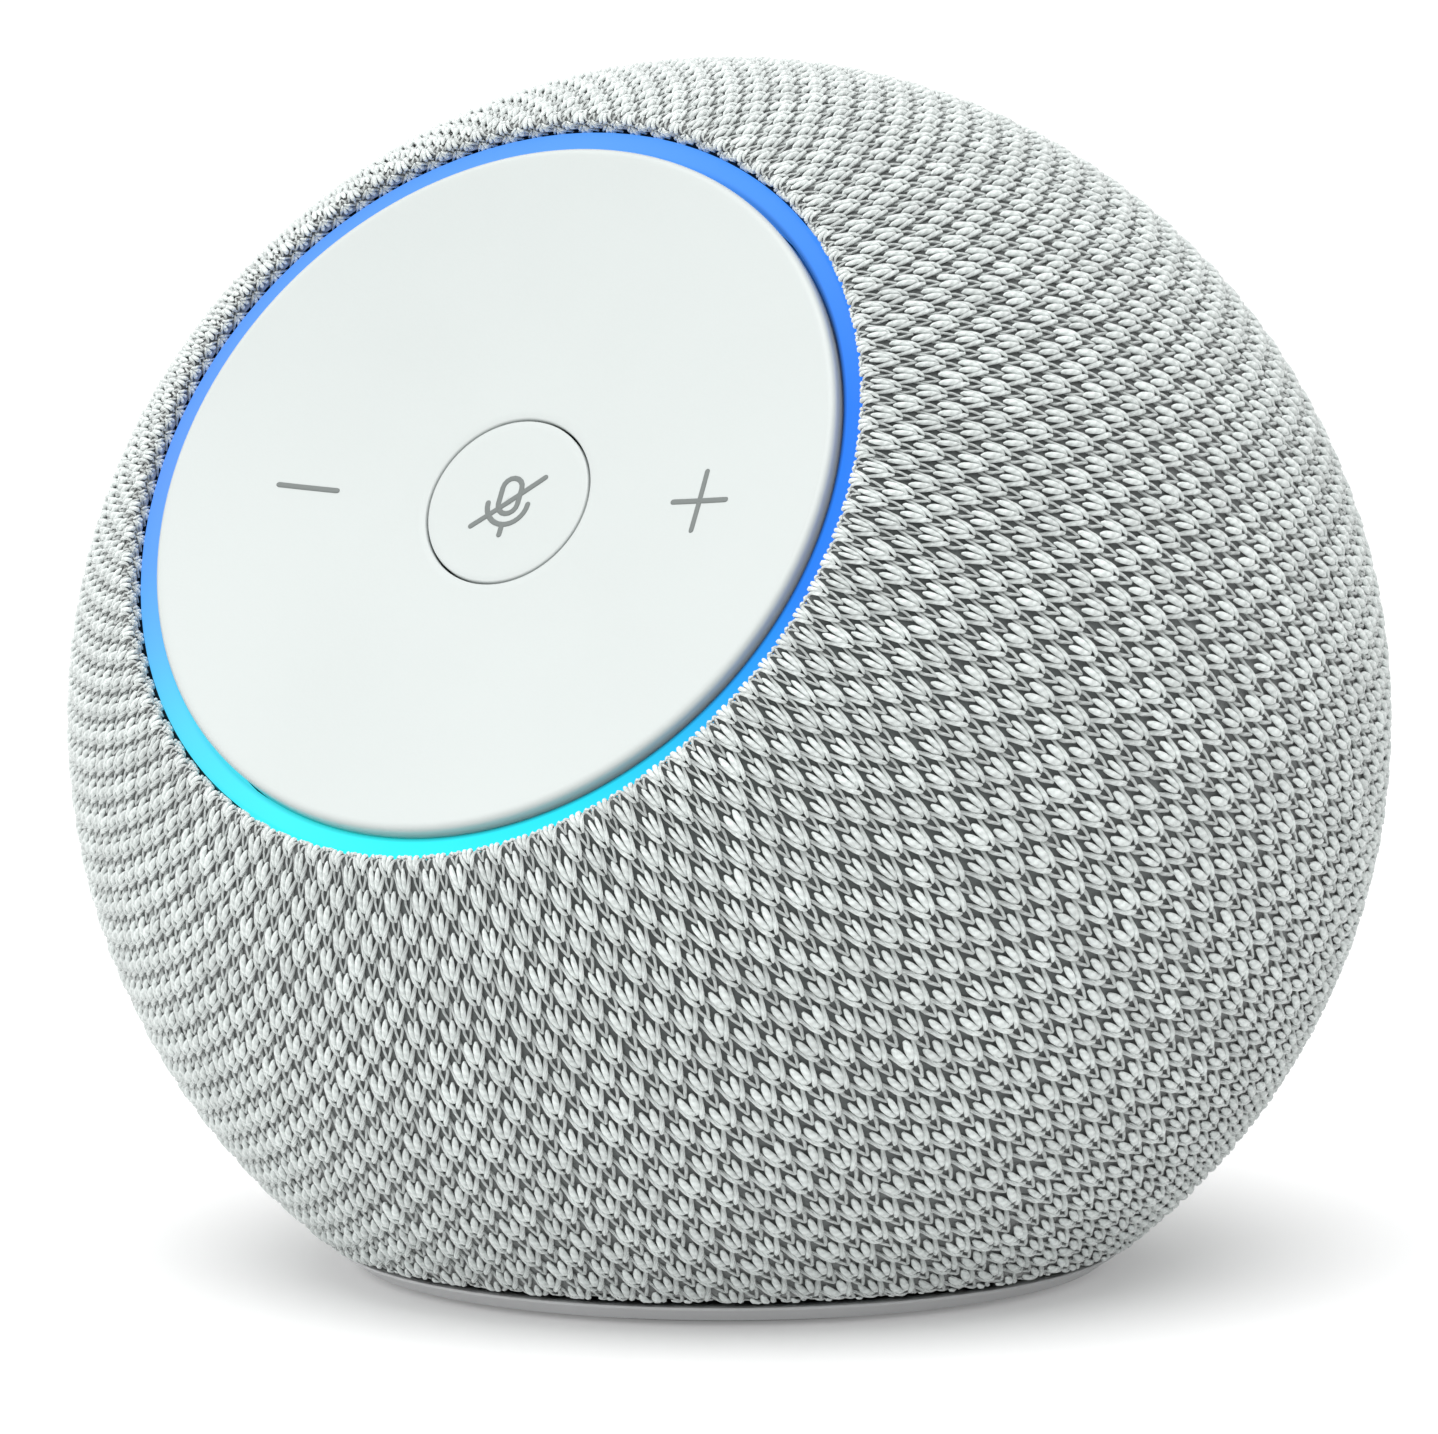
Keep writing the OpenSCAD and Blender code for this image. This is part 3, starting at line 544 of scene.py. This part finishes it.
# ------------------------------------------------------------------ light ring
# Colour round the ring, from the left (0) by the bottom (0.25), the right (0.5) and the top (0.75)
RING_COLOURS = [
    (0.0, (100, 156, 252)), (0.042, (96, 164, 251)), (0.083, (95, 188, 250)), (0.125, (86, 220, 251)),
    (0.167, (72, 240, 255)), (0.208, (60, 253, 255)), (0.25, (44, 255, 255)), (0.333, (16, 232, 250)),
    (0.375, (14, 198, 242)), (0.417, (14, 158, 248)), (0.458, (12, 122, 242)), (0.54, (24, 120, 250)),
    (0.6, (60, 138, 252)), (0.667, (74, 150, 254)), (0.75, (90, 160, 254)), (1.0, (100, 156, 252)),
]
# Painted shade on the ring's inner edge, round the same circle: how bright the edge is left, dark beside the
# disc's shaded side
PAINTED_EDGE_SHADE = [(0.12, 1.0), (0.3, 0.3), (0.4, 0.1), (0.58, 0.1), (0.7, 1.0)]


def glow_material():
    """The lit ring: its colour goes by the angle round it, and painted shade darkens it towards its inner
    edge.
    """
    mat = finished("ring_glow", (0.004, 0.02, 0.05), 0.5, scale=2200.0, depth=0.000006, contrast=0.03,
                   specular=0.2)
    at = add(mat, "VectorMath", operation="SUBTRACT",
             inputs={0: position(mat), 1: tuple(CENTRE)}).outputs[0]
    x, y = (add(mat, "VectorMath", operation="DOT_PRODUCT",
                inputs={0: at, 1: tuple(axis)}).outputs["Value"] for axis in (FACE_X, FACE_Y))
    angle = add(mat, "Math", operation="ARCTAN2", inputs={0: y, 1: x}).outputs[0]
    share = spread(mat, angle, 0.0, 1.0, (-math.pi, math.pi))
    colour = ramp(mat, share, [(k, srgb(*c)) for k, c in RING_COLOURS])
    flat = add(mat, "CombineXYZ", inputs={0: x, 1: y}).outputs[0]
    reach = add(mat, "VectorMath", operation="LENGTH", inputs={0: flat}).outputs["Value"]
    # Painted shade: the glow is dimmed towards the inner edge, most beside the disc's shaded side
    edge = ramp(mat, share, [(place, (level,) * 3) for place, level in PAINTED_EDGE_SHADE])
    fade = spread(mat, reach, edge, 1.0, (RING_INNER_R + 0.1 * MM, RING_INNER_R + 0.45 * MM))
    lit = add(mat, "VectorMath", operation="MULTIPLY", inputs={0: colour, 1: fade}).outputs[0]
    link(mat, lit, "Emission Color")
    shader_of(mat).inputs["Emission Strength"].default_value = 1.0
    return mat


ring = lathe("light_ring_lens", rounded(
    [(RING_INNER_R, RING_BOTTOM), (RING_OUTER_R, RING_BOTTOM),
     (RING_OUTER_R, RING_TOP), (RING_INNER_R, RING_TOP)],
    [0, 0, 0.3 * MM, 0.3 * MM]), DISC_SIDES)
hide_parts("light_ring")
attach(ring, "housing")
paint(ring, glow_material())

# ------------------------------------------------------------------ base ring
# Its section in mm, from the inside below, out to the bright lip and back in above, and its corners' radii
BASE_SECTION = np.array(((29.0, 0.46), (30.95, 0.46), (32.2, 1.42), (32.49, 1.50), (32.49, 1.74),
                         (32.1, 1.80), (29.0, 1.80)))
BASE_CORNERS = np.array((0, 0.25, 0.08, 0.06, 0.08, 0.05, 0))
base = lathe("base_trim_ring", rounded(BASE_SECTION * MM, BASE_CORNERS * MM), DISC_SIDES, face=False)
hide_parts("base_ring")
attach(base, "housing")
paint(base, PALETTE["base_plastic"])

# ------------------------------------------------------------------ knit cover
YARN_DEPTH = 0.76 * MM
CLOTH_T = 0.22 * MM
# Stitches: width in mm that the strands are drawn at, stitches per full row, rows per radian from the face's
# axis, the place of the first row and column, and how far the pattern drifts across the ball
PITCH = 3.53
WALES = 88
ROWS_PER_RADIAN = 15.2108
ROW_START = 0.165
FIRST_ROW = 17
LAST_ROW = 99
VIEW_PHI = -0.5236
WALE_START = VIEW_PHI + 7.333 * TAU / WALES
PHI_DRIFT = 0.00485
THETA_DRIFT = 0.0018
# Where the cover turns in at the face's opening and under the base, and how it thins there
LIP_R, LIP_H = OPENING_R + HEM_BEND, 43.0 * MM
LIP_ANGLE = math.atan2(LIP_R, LIP_H)
HEM_HANG = 0.35 * MM
HEM_EASE = 1.0 * MM
HEM_SQUEEZE = 0.45
HEM_ZONE = 2.2 * MM
HEM_THINNING = 0.36
HEM_DROP = BALL_Z - KNIT_BOTTOM - HEM_BEND + HEM_HANG
HEM_R = math.sqrt((BALL_R - HEM_BEND) ** 2 - HEM_DROP ** 2)
HEM_ANGLE = math.atan2(HEM_R, HEM_DROP)
inlet_low, inlet_high = (np.array(v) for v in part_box("inlet_panel"))
INLET_Z = (inlet_low[2] + inlet_high[2]) / 2
INLET_H = (inlet_high[2] - inlet_low[2]) / 2 + 0.2 * MM
INLET_REACH = (inlet_high[0] - inlet_low[0]) / 2 - (inlet_high[2] - inlet_low[2]) / 2
INLET_ZONE_H, INLET_ZONE_W = 12 * MM, 16 * MM
INLET_BEND = 0.5 * MM
INLET_EASE = 2.0 * MM
INLET_THINNING = 0.4


def smooth(t):
    t = np.clip(t, 0, 1)
    return t * t * (3 - 2 * t)


def bent(r, h, over, angle, bend_r, bend_h, stop):
    """Where a point goes that lies past an edge: round the bend, then straight on. over is the arc length
    past the edge; stop is how far the bend turns. Returns r, h, the normal in the (r, h) plane and
    whether the point is past the edge."""
    rest = np.maximum(over - HEM_BEND * stop, 0)
    psi = angle - np.clip(over / HEM_BEND, 0, stop)
    nr, nh = np.sin(psi), np.cos(psi)
    past = over > 0
    return (np.where(past, bend_r + HEM_BEND * nr - rest * np.cos(psi), r),
            np.where(past, bend_h + HEM_BEND * nh + rest * np.sin(psi), h),
            nr, nh, past)


def draped(phi, theta, depth):
    """Row-frame points of the cover at an angle round the face's axis, an angle from it and a depth
    under the ball's outside. The cover bends into the face's opening, under the base and into the inlet."""
    r, h = BALL_R * np.sin(theta), BALL_R * np.cos(theta)
    over = BALL_R * (LIP_ANGLE - theta)
    squeeze = 1 - HEM_THINNING * smooth(1 + over / HEM_ZONE)
    r, h, nr, nh, past = bent(r, h, over, LIP_ANGLE, LIP_R, LIP_H, LIP_ANGLE + math.pi / 2)
    nr, nh = np.where(past, nr, np.sin(theta)), np.where(past, nh, np.cos(theta))
    c, s = np.cos(phi), np.sin(phi)
    at = r[..., None] * (c[..., None] * FACE_X + s[..., None] * FACE_Y) + h[..., None] * FACE_N
    normal = nr[..., None] * (c[..., None] * FACE_X + s[..., None] * FACE_Y) + nh[..., None] * FACE_N
    # Under the base, about the vertical axis
    flat = np.hypot(at[..., 0], at[..., 1])
    below = np.arctan2(flat, -at[..., 2])
    under = BALL_R * (HEM_ANGLE - below)
    squeeze = squeeze * (1 - HEM_THINNING * smooth(1 + under / HEM_ZONE))
    r2, h2, nr2, nh2, past2 = bent(flat, -at[..., 2], under, HEM_ANGLE, HEM_R, HEM_DROP, HEM_ANGLE)
    away = at[..., :2] / np.maximum(flat, 1e-9)[..., None]
    hemmed = np.concatenate([away * r2[..., None], -h2[..., None]], -1)
    hem_normal = np.concatenate([away * nr2[..., None], -nh2[..., None]], -1)
    at = np.where(past2[..., None], hemmed, at)
    normal = np.where(past2[..., None], hem_normal, normal)
    # Round the power inlet
    point = CENTRE + at
    behind = ((point[..., 1] > 0) & (np.abs(point[..., 2] - INLET_Z) < INLET_ZONE_H)
              & (np.abs(point[..., 0]) < INLET_ZONE_W))
    ax = point[..., 0] - np.clip(point[..., 0], -INLET_REACH, INLET_REACH)
    az = point[..., 2] - INLET_Z
    span = np.maximum(np.hypot(ax, az), 1e-9)
    edge = span - INLET_H
    turn_by = np.clip((INLET_BEND - edge) / INLET_BEND, 0, math.pi / 2)
    past_bend = np.maximum(INLET_BEND - edge - INLET_BEND * math.pi / 2, 0)
    sunk = np.where(behind, INLET_BEND * (1 - np.cos(turn_by)) + past_bend, 0)
    new_edge = np.where(edge < INLET_BEND, INLET_BEND - INLET_BEND * np.sin(turn_by), edge)
    shift = np.where(behind, new_edge - edge, 0)
    squeeze = squeeze * np.where(behind, 1 - INLET_THINNING * smooth((INLET_EASE - edge) / INLET_EASE), 1)
    point = point + np.stack([ax / span * shift, 0 * shift, az / span * shift], -1)
    lean = np.where(behind, np.clip(np.sin(turn_by), 0, 1), 0)[..., None]
    inward = np.stack([-ax / span, 0 * ax, -az / span], -1)
    wall_normal = unit(normal * (1 - lean) + inward * lean)
    return point - normal * sunk[..., None] - wall_normal * (depth * squeeze)[..., None]


def cut_away(phi, theta):
    """True where a stitch would lie well inside the face's opening, the base's or the inlet's."""
    c, s = np.cos(phi), np.sin(phi)
    outward = c[..., None] * FACE_X + s[..., None] * FACE_Y
    point = (np.sin(theta)[..., None] * outward + np.cos(theta)[..., None] * FACE_N) * BALL_R
    below = np.arctan2(np.hypot(point[..., 0], point[..., 1]), -point[..., 2])
    ax = point[..., 0] - np.clip(point[..., 0], -INLET_REACH, INLET_REACH)
    edge = np.hypot(ax, point[..., 2] + BALL_Z - INLET_Z) - INLET_H
    return (below < HEM_ANGLE - HEM_ZONE / BALL_R) | ((point[..., 1] > 0) & (edge < -1.0 * MM))


def tube(points, radii, sides):
    """Vertices (x, y, w), faces and yarn coordinates (along, around) of one strand of the stitch."""
    p = np.asarray(points, float)
    n = len(p)
    along = unit(np.gradient(p, axis=0))
    lift = np.array((0.0, 0.0, 1.0))
    side = unit(np.cross(along, lift))
    top = np.cross(side, along)
    a = np.arange(sides) * TAU / sides + (math.pi / 2 if sides % 2 else 0)
    radii = np.asarray(radii, float)[:, None, None]
    across = np.cos(a)[None, :, None] * side[:, None] + np.sin(a)[None, :, None] * top[:, None]
    rings = p[:, None] + radii * across
    length = np.concatenate([[0], np.cumsum(np.linalg.norm(np.diff(p, axis=0), axis=1))])
    uv = np.stack(np.broadcast_arrays(length[:, None], a[None, :] / TAU), -1)
    return rings.reshape(-1, 3), grid_faces(n, sides), uv.reshape(-1, 2)


def spline(points, count):
    """A smooth line through the points."""
    p = np.asarray(points, float)
    at = np.linspace(0, len(p) - 1, count)
    i = np.clip(at.astype(int), 0, len(p) - 2)
    f = (at - i)[:, None]
    q = np.concatenate([[2 * p[0] - p[1]], p, [2 * p[-1] - p[-2]]])
    a, b, c, d = q[i], q[i + 1], q[i + 2], q[i + 3]
    return 0.5 * (2 * b + (c - a) * f + (2 * a - 5 * b + 4 * c - d) * f ** 2
                  + (3 * b - a - 3 * c + d) * f ** 3)


# Strands of the left half of a stitch: x along the ring, y away from the face and w above the backing, then
# the strand's radius, all in mm at the reference pitch. First the fat V, then the long arm of the small V
# below it, which starts from the next column's arm, then the thin V that runs into the next fat one.
FAT = ((-0.45, -1.04, 0.20, 0.13), (-0.44, -0.84, 0.38, 0.24), (-0.39, -0.50, 0.45, 0.30),
       (-0.335, -0.16, 0.47, 0.295), (-0.27, 0.16, 0.45, 0.27), (-0.20, 0.44, 0.41, 0.22),
       (-0.13, 0.67, 0.32, 0.16), (-0.06, 0.86, 0.18, 0.10))
ARM = ((-1.34, -1.14, 0.06, 0.15), (-1.19, -0.80, 0.12, 0.17), (-0.99, -0.40, 0.19, 0.18),
       (-0.82, -0.04, 0.27, 0.215), (-0.68, 0.32, 0.37, 0.245), (-0.52, 0.68, 0.44, 0.245),
       (-0.37, 0.97, 0.45, 0.22), (-0.24, 1.20, 0.36, 0.175), (-0.09, 1.36, 0.22, 0.10))
THIN = ((-0.30, 1.22, 0.06, 0.15), (-0.41, 1.48, 0.14, 0.175), (-0.38, 1.76, 0.20, 0.16),
        (-0.25, 2.10, 0.25, 0.145), (-0.12, 2.40, 0.28, 0.135), (-0.04, 2.68, 0.22, 0.12))
STITCH_SHIFT = np.array((-0.085, 0.0, 0.0))
# How bright the deep strands are left under their painted shade
DEEP_SHADE = 0.78


def stitch():
    """Vertices, faces, yarn coordinates, fat-strand marks and shades of one whole stitch. The strands that
    lie deep carry painted shade: the arms darken where they lie deep and the thin Vs all along, as the
    photograph shows them."""
    parts, fat, shades = [], [], []
    for sign in (1, -1):
        for line, count, sides in ((FAT, 9, 6), (ARM, 9, 5), (THIN, 6, 4)):
            smooth_line = spline(line, count)
            centre = smooth_line[:, :3] * (sign, 1, 1) + STITCH_SHIFT
            parts.append(tube(centre, smooth_line[:, 3], sides))
            fat.append(np.full(count * sides, float(line is FAT)))
            # Painted shade by depth: the fat V keeps full brightness, each arm darkens where it lies deep and
            # the thin V is darkened all along
            if line is FAT:
                shade_along = np.ones(count)
            elif line is ARM:
                shade_along = DEEP_SHADE + (1 - DEEP_SHADE) * smooth((smooth_line[:, 1] + 0.3) / 0.9)
            else:
                shade_along = np.full(count, DEEP_SHADE)
            shades.append(np.repeat(shade_along, sides))
    verts, faces, uvs, start = [], [], [], 0
    for v, f, t in parts:
        verts.append(v)
        faces.append(f + start)
        uvs.append(t)
        start += len(v)
    return (np.concatenate(verts), np.concatenate(faces), np.concatenate(uvs), np.concatenate(fat),
            np.concatenate(shades))


# Stitches per row and the angle from the face's axis, in degrees, at which a row drops to the next count
BANDS = ((WALES, 127.0), (70, 140.5), (56, 149.5), (44, 156.5), (35, 161.5), (28, 165.5), (22, 168.5),
         (17, 171.0), (13, 176.0))


def bands():
    """(stitch count, its rows as (number, angle from the face's axis))"""
    rows = [(k, (k / 2 + ROW_START) / ROWS_PER_RADIAN) for k in range(FIRST_ROW, LAST_ROW + 1)]
    low = 0
    for count, high in BANDS:
        yield count, [(k, t) for k, t in rows if low <= math.degrees(t) < high]
        low = high


rng = np.random.default_rng(8)
# How much each stitch differs from the next: its lean, width, fat strands' width, place (x, y, w in mm), tone
VARY_LEAN, VARY_WIDTH, VARY_FAT, VARY_TONE = 0.045, 0.04, 0.09, 0.05
VARY_X, VARY_Y, VARY_W = 0.03, 0.035, 0.025
VARY_LIMIT = 2.2


def knit_panels(panels):
    """The cover's stitches as separate yarn, in panels round the face's axis."""
    template, faces, uvs, fat, shades = stitch()
    bins = [[] for _ in range(panels)]
    for count, rows in bands():
        for index, theta in rows:
            turn_share = (np.arange(count) + 0.5 * (index % 2)) / count * TAU + WALE_START
            jitter = np.clip(rng.normal(0, 1, (count, 6)), -VARY_LIMIT, VARY_LIMIT)
            keep = ~cut_away(turn_share, np.full(count, theta))
            j = jitter[:, None, :]
            lean = VARY_LEAN * j[..., 3]
            wide = 1 + VARY_WIDTH * j[..., 2] + VARY_FAT * fat * j[..., 5]
            x = (template[:, 0] + lean * template[:, 1]) * wide + VARY_X * j[..., 0]
            y = template[:, 1] + VARY_Y * j[..., 1] - lean * template[:, 0]
            w = template[:, 2] + VARY_W * j[..., 4]
            p = turn_share[:, None] + x / PITCH * TAU / count
            p = p + PHI_DRIFT * np.sin(p - VIEW_PHI)
            t = theta + y * MM / BALL_R - THETA_DRIFT * np.sin(p - VIEW_PHI)
            turned = BALL_R * (LIP_ANGLE - t) - HEM_EASE
            t = np.where(turned > 0, t + turned * (1 - HEM_SQUEEZE) / BALL_R, t)
            points = draped(p, t, (YARN_DEPTH / MM - w) * MM)
            sector = ((turn_share % TAU) / TAU * panels).astype(int) % panels
            for s in range(panels):
                pick = keep & (sector == s)
                if pick.any():
                    # The painted shade of the deep strands, times each stitch's random tone
                    bins[s].append((points[pick], shades * (1 + VARY_TONE * jitter[pick, 4, None])))
    made = []
    for s, parts in enumerate(bins):
        points = np.concatenate([part[0] for part in parts])
        shades_and_tones = np.concatenate([part[1] for part in parts])
        k, n = points.shape[:2]
        quads = (faces[None] + (np.arange(k) * n)[:, None, None]).reshape(-1, 4)
        obj = mesh_object(f"knit_stitches_{s + 1:02d}", points.reshape(-1, 3), quads)
        layer = obj.data.uv_layers.new(name="yarn")
        loops = np.empty(len(obj.data.loops), np.int32)
        obj.data.loops.foreach_get("vertex_index", loops)
        layer.data.foreach_set("uv", uvs[loops % n].astype(np.float32).ravel())
        shade_and_tone = obj.data.attributes.new("shade_and_tone", "FLOAT", "POINT")
        shade_and_tone.data.foreach_set("value", shades_and_tones.ravel().astype(np.float32))
        made.append(obj)
    return made


# Rows of the backing: arc lengths in mm past the lip, then even steps in degrees to the rear pole
LIP_ROWS = np.array((2.6, 1.9, 1.33, 1.1, 0.8, 0.5, 0.2))
BODY_ROWS = np.linspace(37.2, 179.6, 100)
BACKING_SIDES = 300


def knit_backing():
    """The closed backing cloth under the stitches, with its turned-in edges at the openings."""
    theta = np.concatenate([LIP_ANGLE - LIP_ROWS * MM / BALL_R, np.radians(BODY_ROWS)])
    phi = np.arange(BACKING_SIDES) * TAU / BACKING_SIDES
    t, p = np.meshgrid(theta, phi, indexing="ij")
    outer = draped(p, t, np.full(t.shape, YARN_DEPTH)).reshape(-1, 3)
    inner = draped(p, t, np.full(t.shape, YARN_DEPTH + CLOTH_T)).reshape(-1, 3)
    n = len(outer)
    quads = grid_faces(len(theta), len(phi))
    gone = cut_away(p, t).ravel()
    quads = quads[~gone[quads].any(1)]
    edges = np.concatenate([quads[:, [i, (i + 1) % 4]] for i in range(4)])
    key = np.sort(edges, 1)
    _, where, seen = np.unique(key, axis=0, return_inverse=True, return_counts=True)
    rim = edges[seen[where.ravel()] == 1]
    sides = np.stack([rim[:, 1], rim[:, 0], rim[:, 0] + n, rim[:, 1] + n], 1)
    faces = np.concatenate([quads, quads[:, ::-1] + n, sides])
    verts = np.concatenate([outer, inner])
    used = np.unique(faces)
    place = np.full(len(verts), -1)
    place[used] = np.arange(len(used))
    return mesh_object("knit_backing", verts[used], place[faces])


# Colours read from the photo's bright stitches and dark gaps
YARN = srgb(205, 211, 209)
# The backing's dark grey is the ground cloth's colour and partly painted shade, standing in for the shade
# deep in the gaps between the stitches
BACKING_AND_GAP_SHADE = srgb(66, 72, 71)
PANELS = 14


def yarn_material():
    """Twisted, fibrous yarn whose tone varies from stitch to stitch, and whose deep strands carry painted
    shade.
    """
    mat = material("knit_yarn", YARN, 0.92, 0.0, 0.2, Sheen_Weight=0.4, Sheen_Roughness=0.6)
    uv = add(mat, "UVMap")
    uv.uv_map = "yarn"
    plies = add(mat, "TexWave", wave_type="BANDS", bands_direction="DIAGONAL", inputs={
        "Vector": uv.outputs[0], "Scale": 0.955, "Distortion": 0.6, "Detail": 2.0,
    }).outputs["Fac"]
    fuzz = noise(mat, 5200.0, 4.0, 0.65)
    both = add(mat, "Math", operation="MULTIPLY_ADD", inputs={0: plies, 1: 0.5, 2: fuzz}).outputs[0]
    # The attribute carries each stitch's random tone and the painted shade of its deep strands
    shade_and_tone = add(mat, "Attribute")
    shade_and_tone.attribute_name = "shade_and_tone"
    fibres = ramp(mat, both, [(0.3, shade(YARN, 0.84)), (1.0, shade(YARN, 1.10))])
    colour = add(mat, "VectorMath", operation="SCALE",
                 inputs={0: fibres, "Scale": shade_and_tone.outputs["Fac"]}).outputs[0]
    link(mat, colour, "Base Color")
    link(mat, bump(mat, both, 0.0001), "Normal")
    return mat


stitches = knit_panels(PANELS)
backing = knit_backing()
yarn = yarn_material()
for piece in stitches:
    paint(piece, yarn)
    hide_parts("knit_cover")
    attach(piece, "housing")
# The ground cloth's colour carries painted shade for the gaps between the stitches
paint(backing, finished("knit_ground_and_gap_shade", BACKING_AND_GAP_SHADE, 0.95, kind="fibre", scale=3000.0, depth=0.00005,
                        contrast=0.25, Sheen_Weight=0.8, Sheen_Roughness=0.6))
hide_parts("knit_cover")
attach(backing, "housing")

# ------------------------------------------------------------------ floor and light
FLOOR_HALF = 6.0
FLOOR_GLOW = 0.18
floor = mesh_object("floor", FLOOR_HALF * np.array([(-1, -1, 0), (1, -1, 0), (1, 1, 0), (-1, 1, 0)]),
                    [(0, 1, 2, 3)])
floor_mat = finished("floor_paper", (0.72, 0.72, 0.72), 0.9, scale=300.0, depth=0.00001, contrast=0.004,
                     specular=0.1)
shader_of(floor_mat).inputs["Emission Color"].default_value = (1, 1, 1, 1)
shader_of(floor_mat).inputs["Emission Strength"].default_value = FLOOR_GLOW
paint(floor, floor_mat)

# The studio is white behind the object, brighter above and to the left of the picture and dimmer to its right
world = bpy.data.worlds.new("studio")
bpy.context.scene.world = world
world.use_nodes = True
nodes, links = world.node_tree.nodes, world.node_tree.links
sky = nodes["Background"]
sky.inputs["Strength"].default_value = 1.0
way = nodes.new("ShaderNodeTexCoord")


def sky_fade(direction, stops):
    """The sky's level along one direction: stops are (share from its back, 0, to its front, 1; level)."""
    dot = nodes.new("ShaderNodeVectorMath")
    dot.operation = "DOT_PRODUCT"
    links.new(way.outputs["Generated"], dot.inputs[0])
    dot.inputs[1].default_value = direction
    share = nodes.new("ShaderNodeMapRange")
    share.inputs["From Min"].default_value = -1.0
    links.new(dot.outputs["Value"], share.inputs["Value"])
    fade = nodes.new("ShaderNodeValToRGB")
    links.new(share.outputs["Result"], fade.inputs["Fac"])
    elements = fade.color_ramp.elements
    while len(elements) < len(stops):
        elements.new(0.5)
    for element, (at, level) in zip(elements, stops):
        element.position = at
        element.color = (level, level, level, 1)
    return fade.outputs["Color"]


# Side levels near the horizon give way to an even overhead sky, which keeps the floor even on both sides
PICTURE_RIGHT = (0.866, 0.5, 0.0)
UPWARD = (0.0, 0.0, 1.0)
side = sky_fade(PICTURE_RIGHT, [(0.0, 1.9), (0.3, 1.6), (0.5, 1.1), (0.62, 0.42), (0.76, 0.08), (0.9, 0.02)])
over = sky_fade(PICTURE_RIGHT, [(0.2, 1.5), (0.5, 1.36), (0.8, 1.1)])
height = sky_fade(UPWARD, [(0.56, 0.0), (0.74, 1.0)])
levels = nodes.new("ShaderNodeMix")
levels.data_type = "RGBA"
links.new(height, levels.inputs["Factor"])
links.new(side, levels.inputs["A"])
links.new(over, levels.inputs["B"])
# The camera sees plain white behind the object; this light only reaches what it falls on
seen = nodes.new("ShaderNodeLightPath")
backdrop = nodes.new("ShaderNodeMix")
backdrop.data_type = "RGBA"
links.new(seen.outputs["Is Camera Ray"], backdrop.inputs["Factor"])
links.new(levels.outputs["Result"], backdrop.inputs["A"])
backdrop.inputs["B"].default_value = (1.1, 1.1, 1.1, 1)
links.new(backdrop.outputs["Result"], sky.inputs["Color"])


def softbox(name, at, aim, size, power):
    """A round area light that faces a point."""
    light = bpy.data.lights.new(name, "AREA")
    light.shape = "DISK"
    light.size = size
    light.energy = power
    lamp = bpy.data.objects.new(name, light)
    bpy.context.scene.collection.objects.link(lamp)
    lamp.location = at
    lamp.rotation_mode = "QUATERNION"
    lamp.rotation_quaternion = (Vector(aim) - Vector(at)).to_track_quat("-Z", "Y")


KEY_AT, MIDDLE = (0.19, -0.40, 1.0), (0, 0, 0.05)
KEY_SIZE, KEY_POWER = 1.1, 7.2
softbox("key", KEY_AT, MIDDLE, KEY_SIZE, KEY_POWER)
bpy.context.scene.view_settings.view_transform = "Standard"
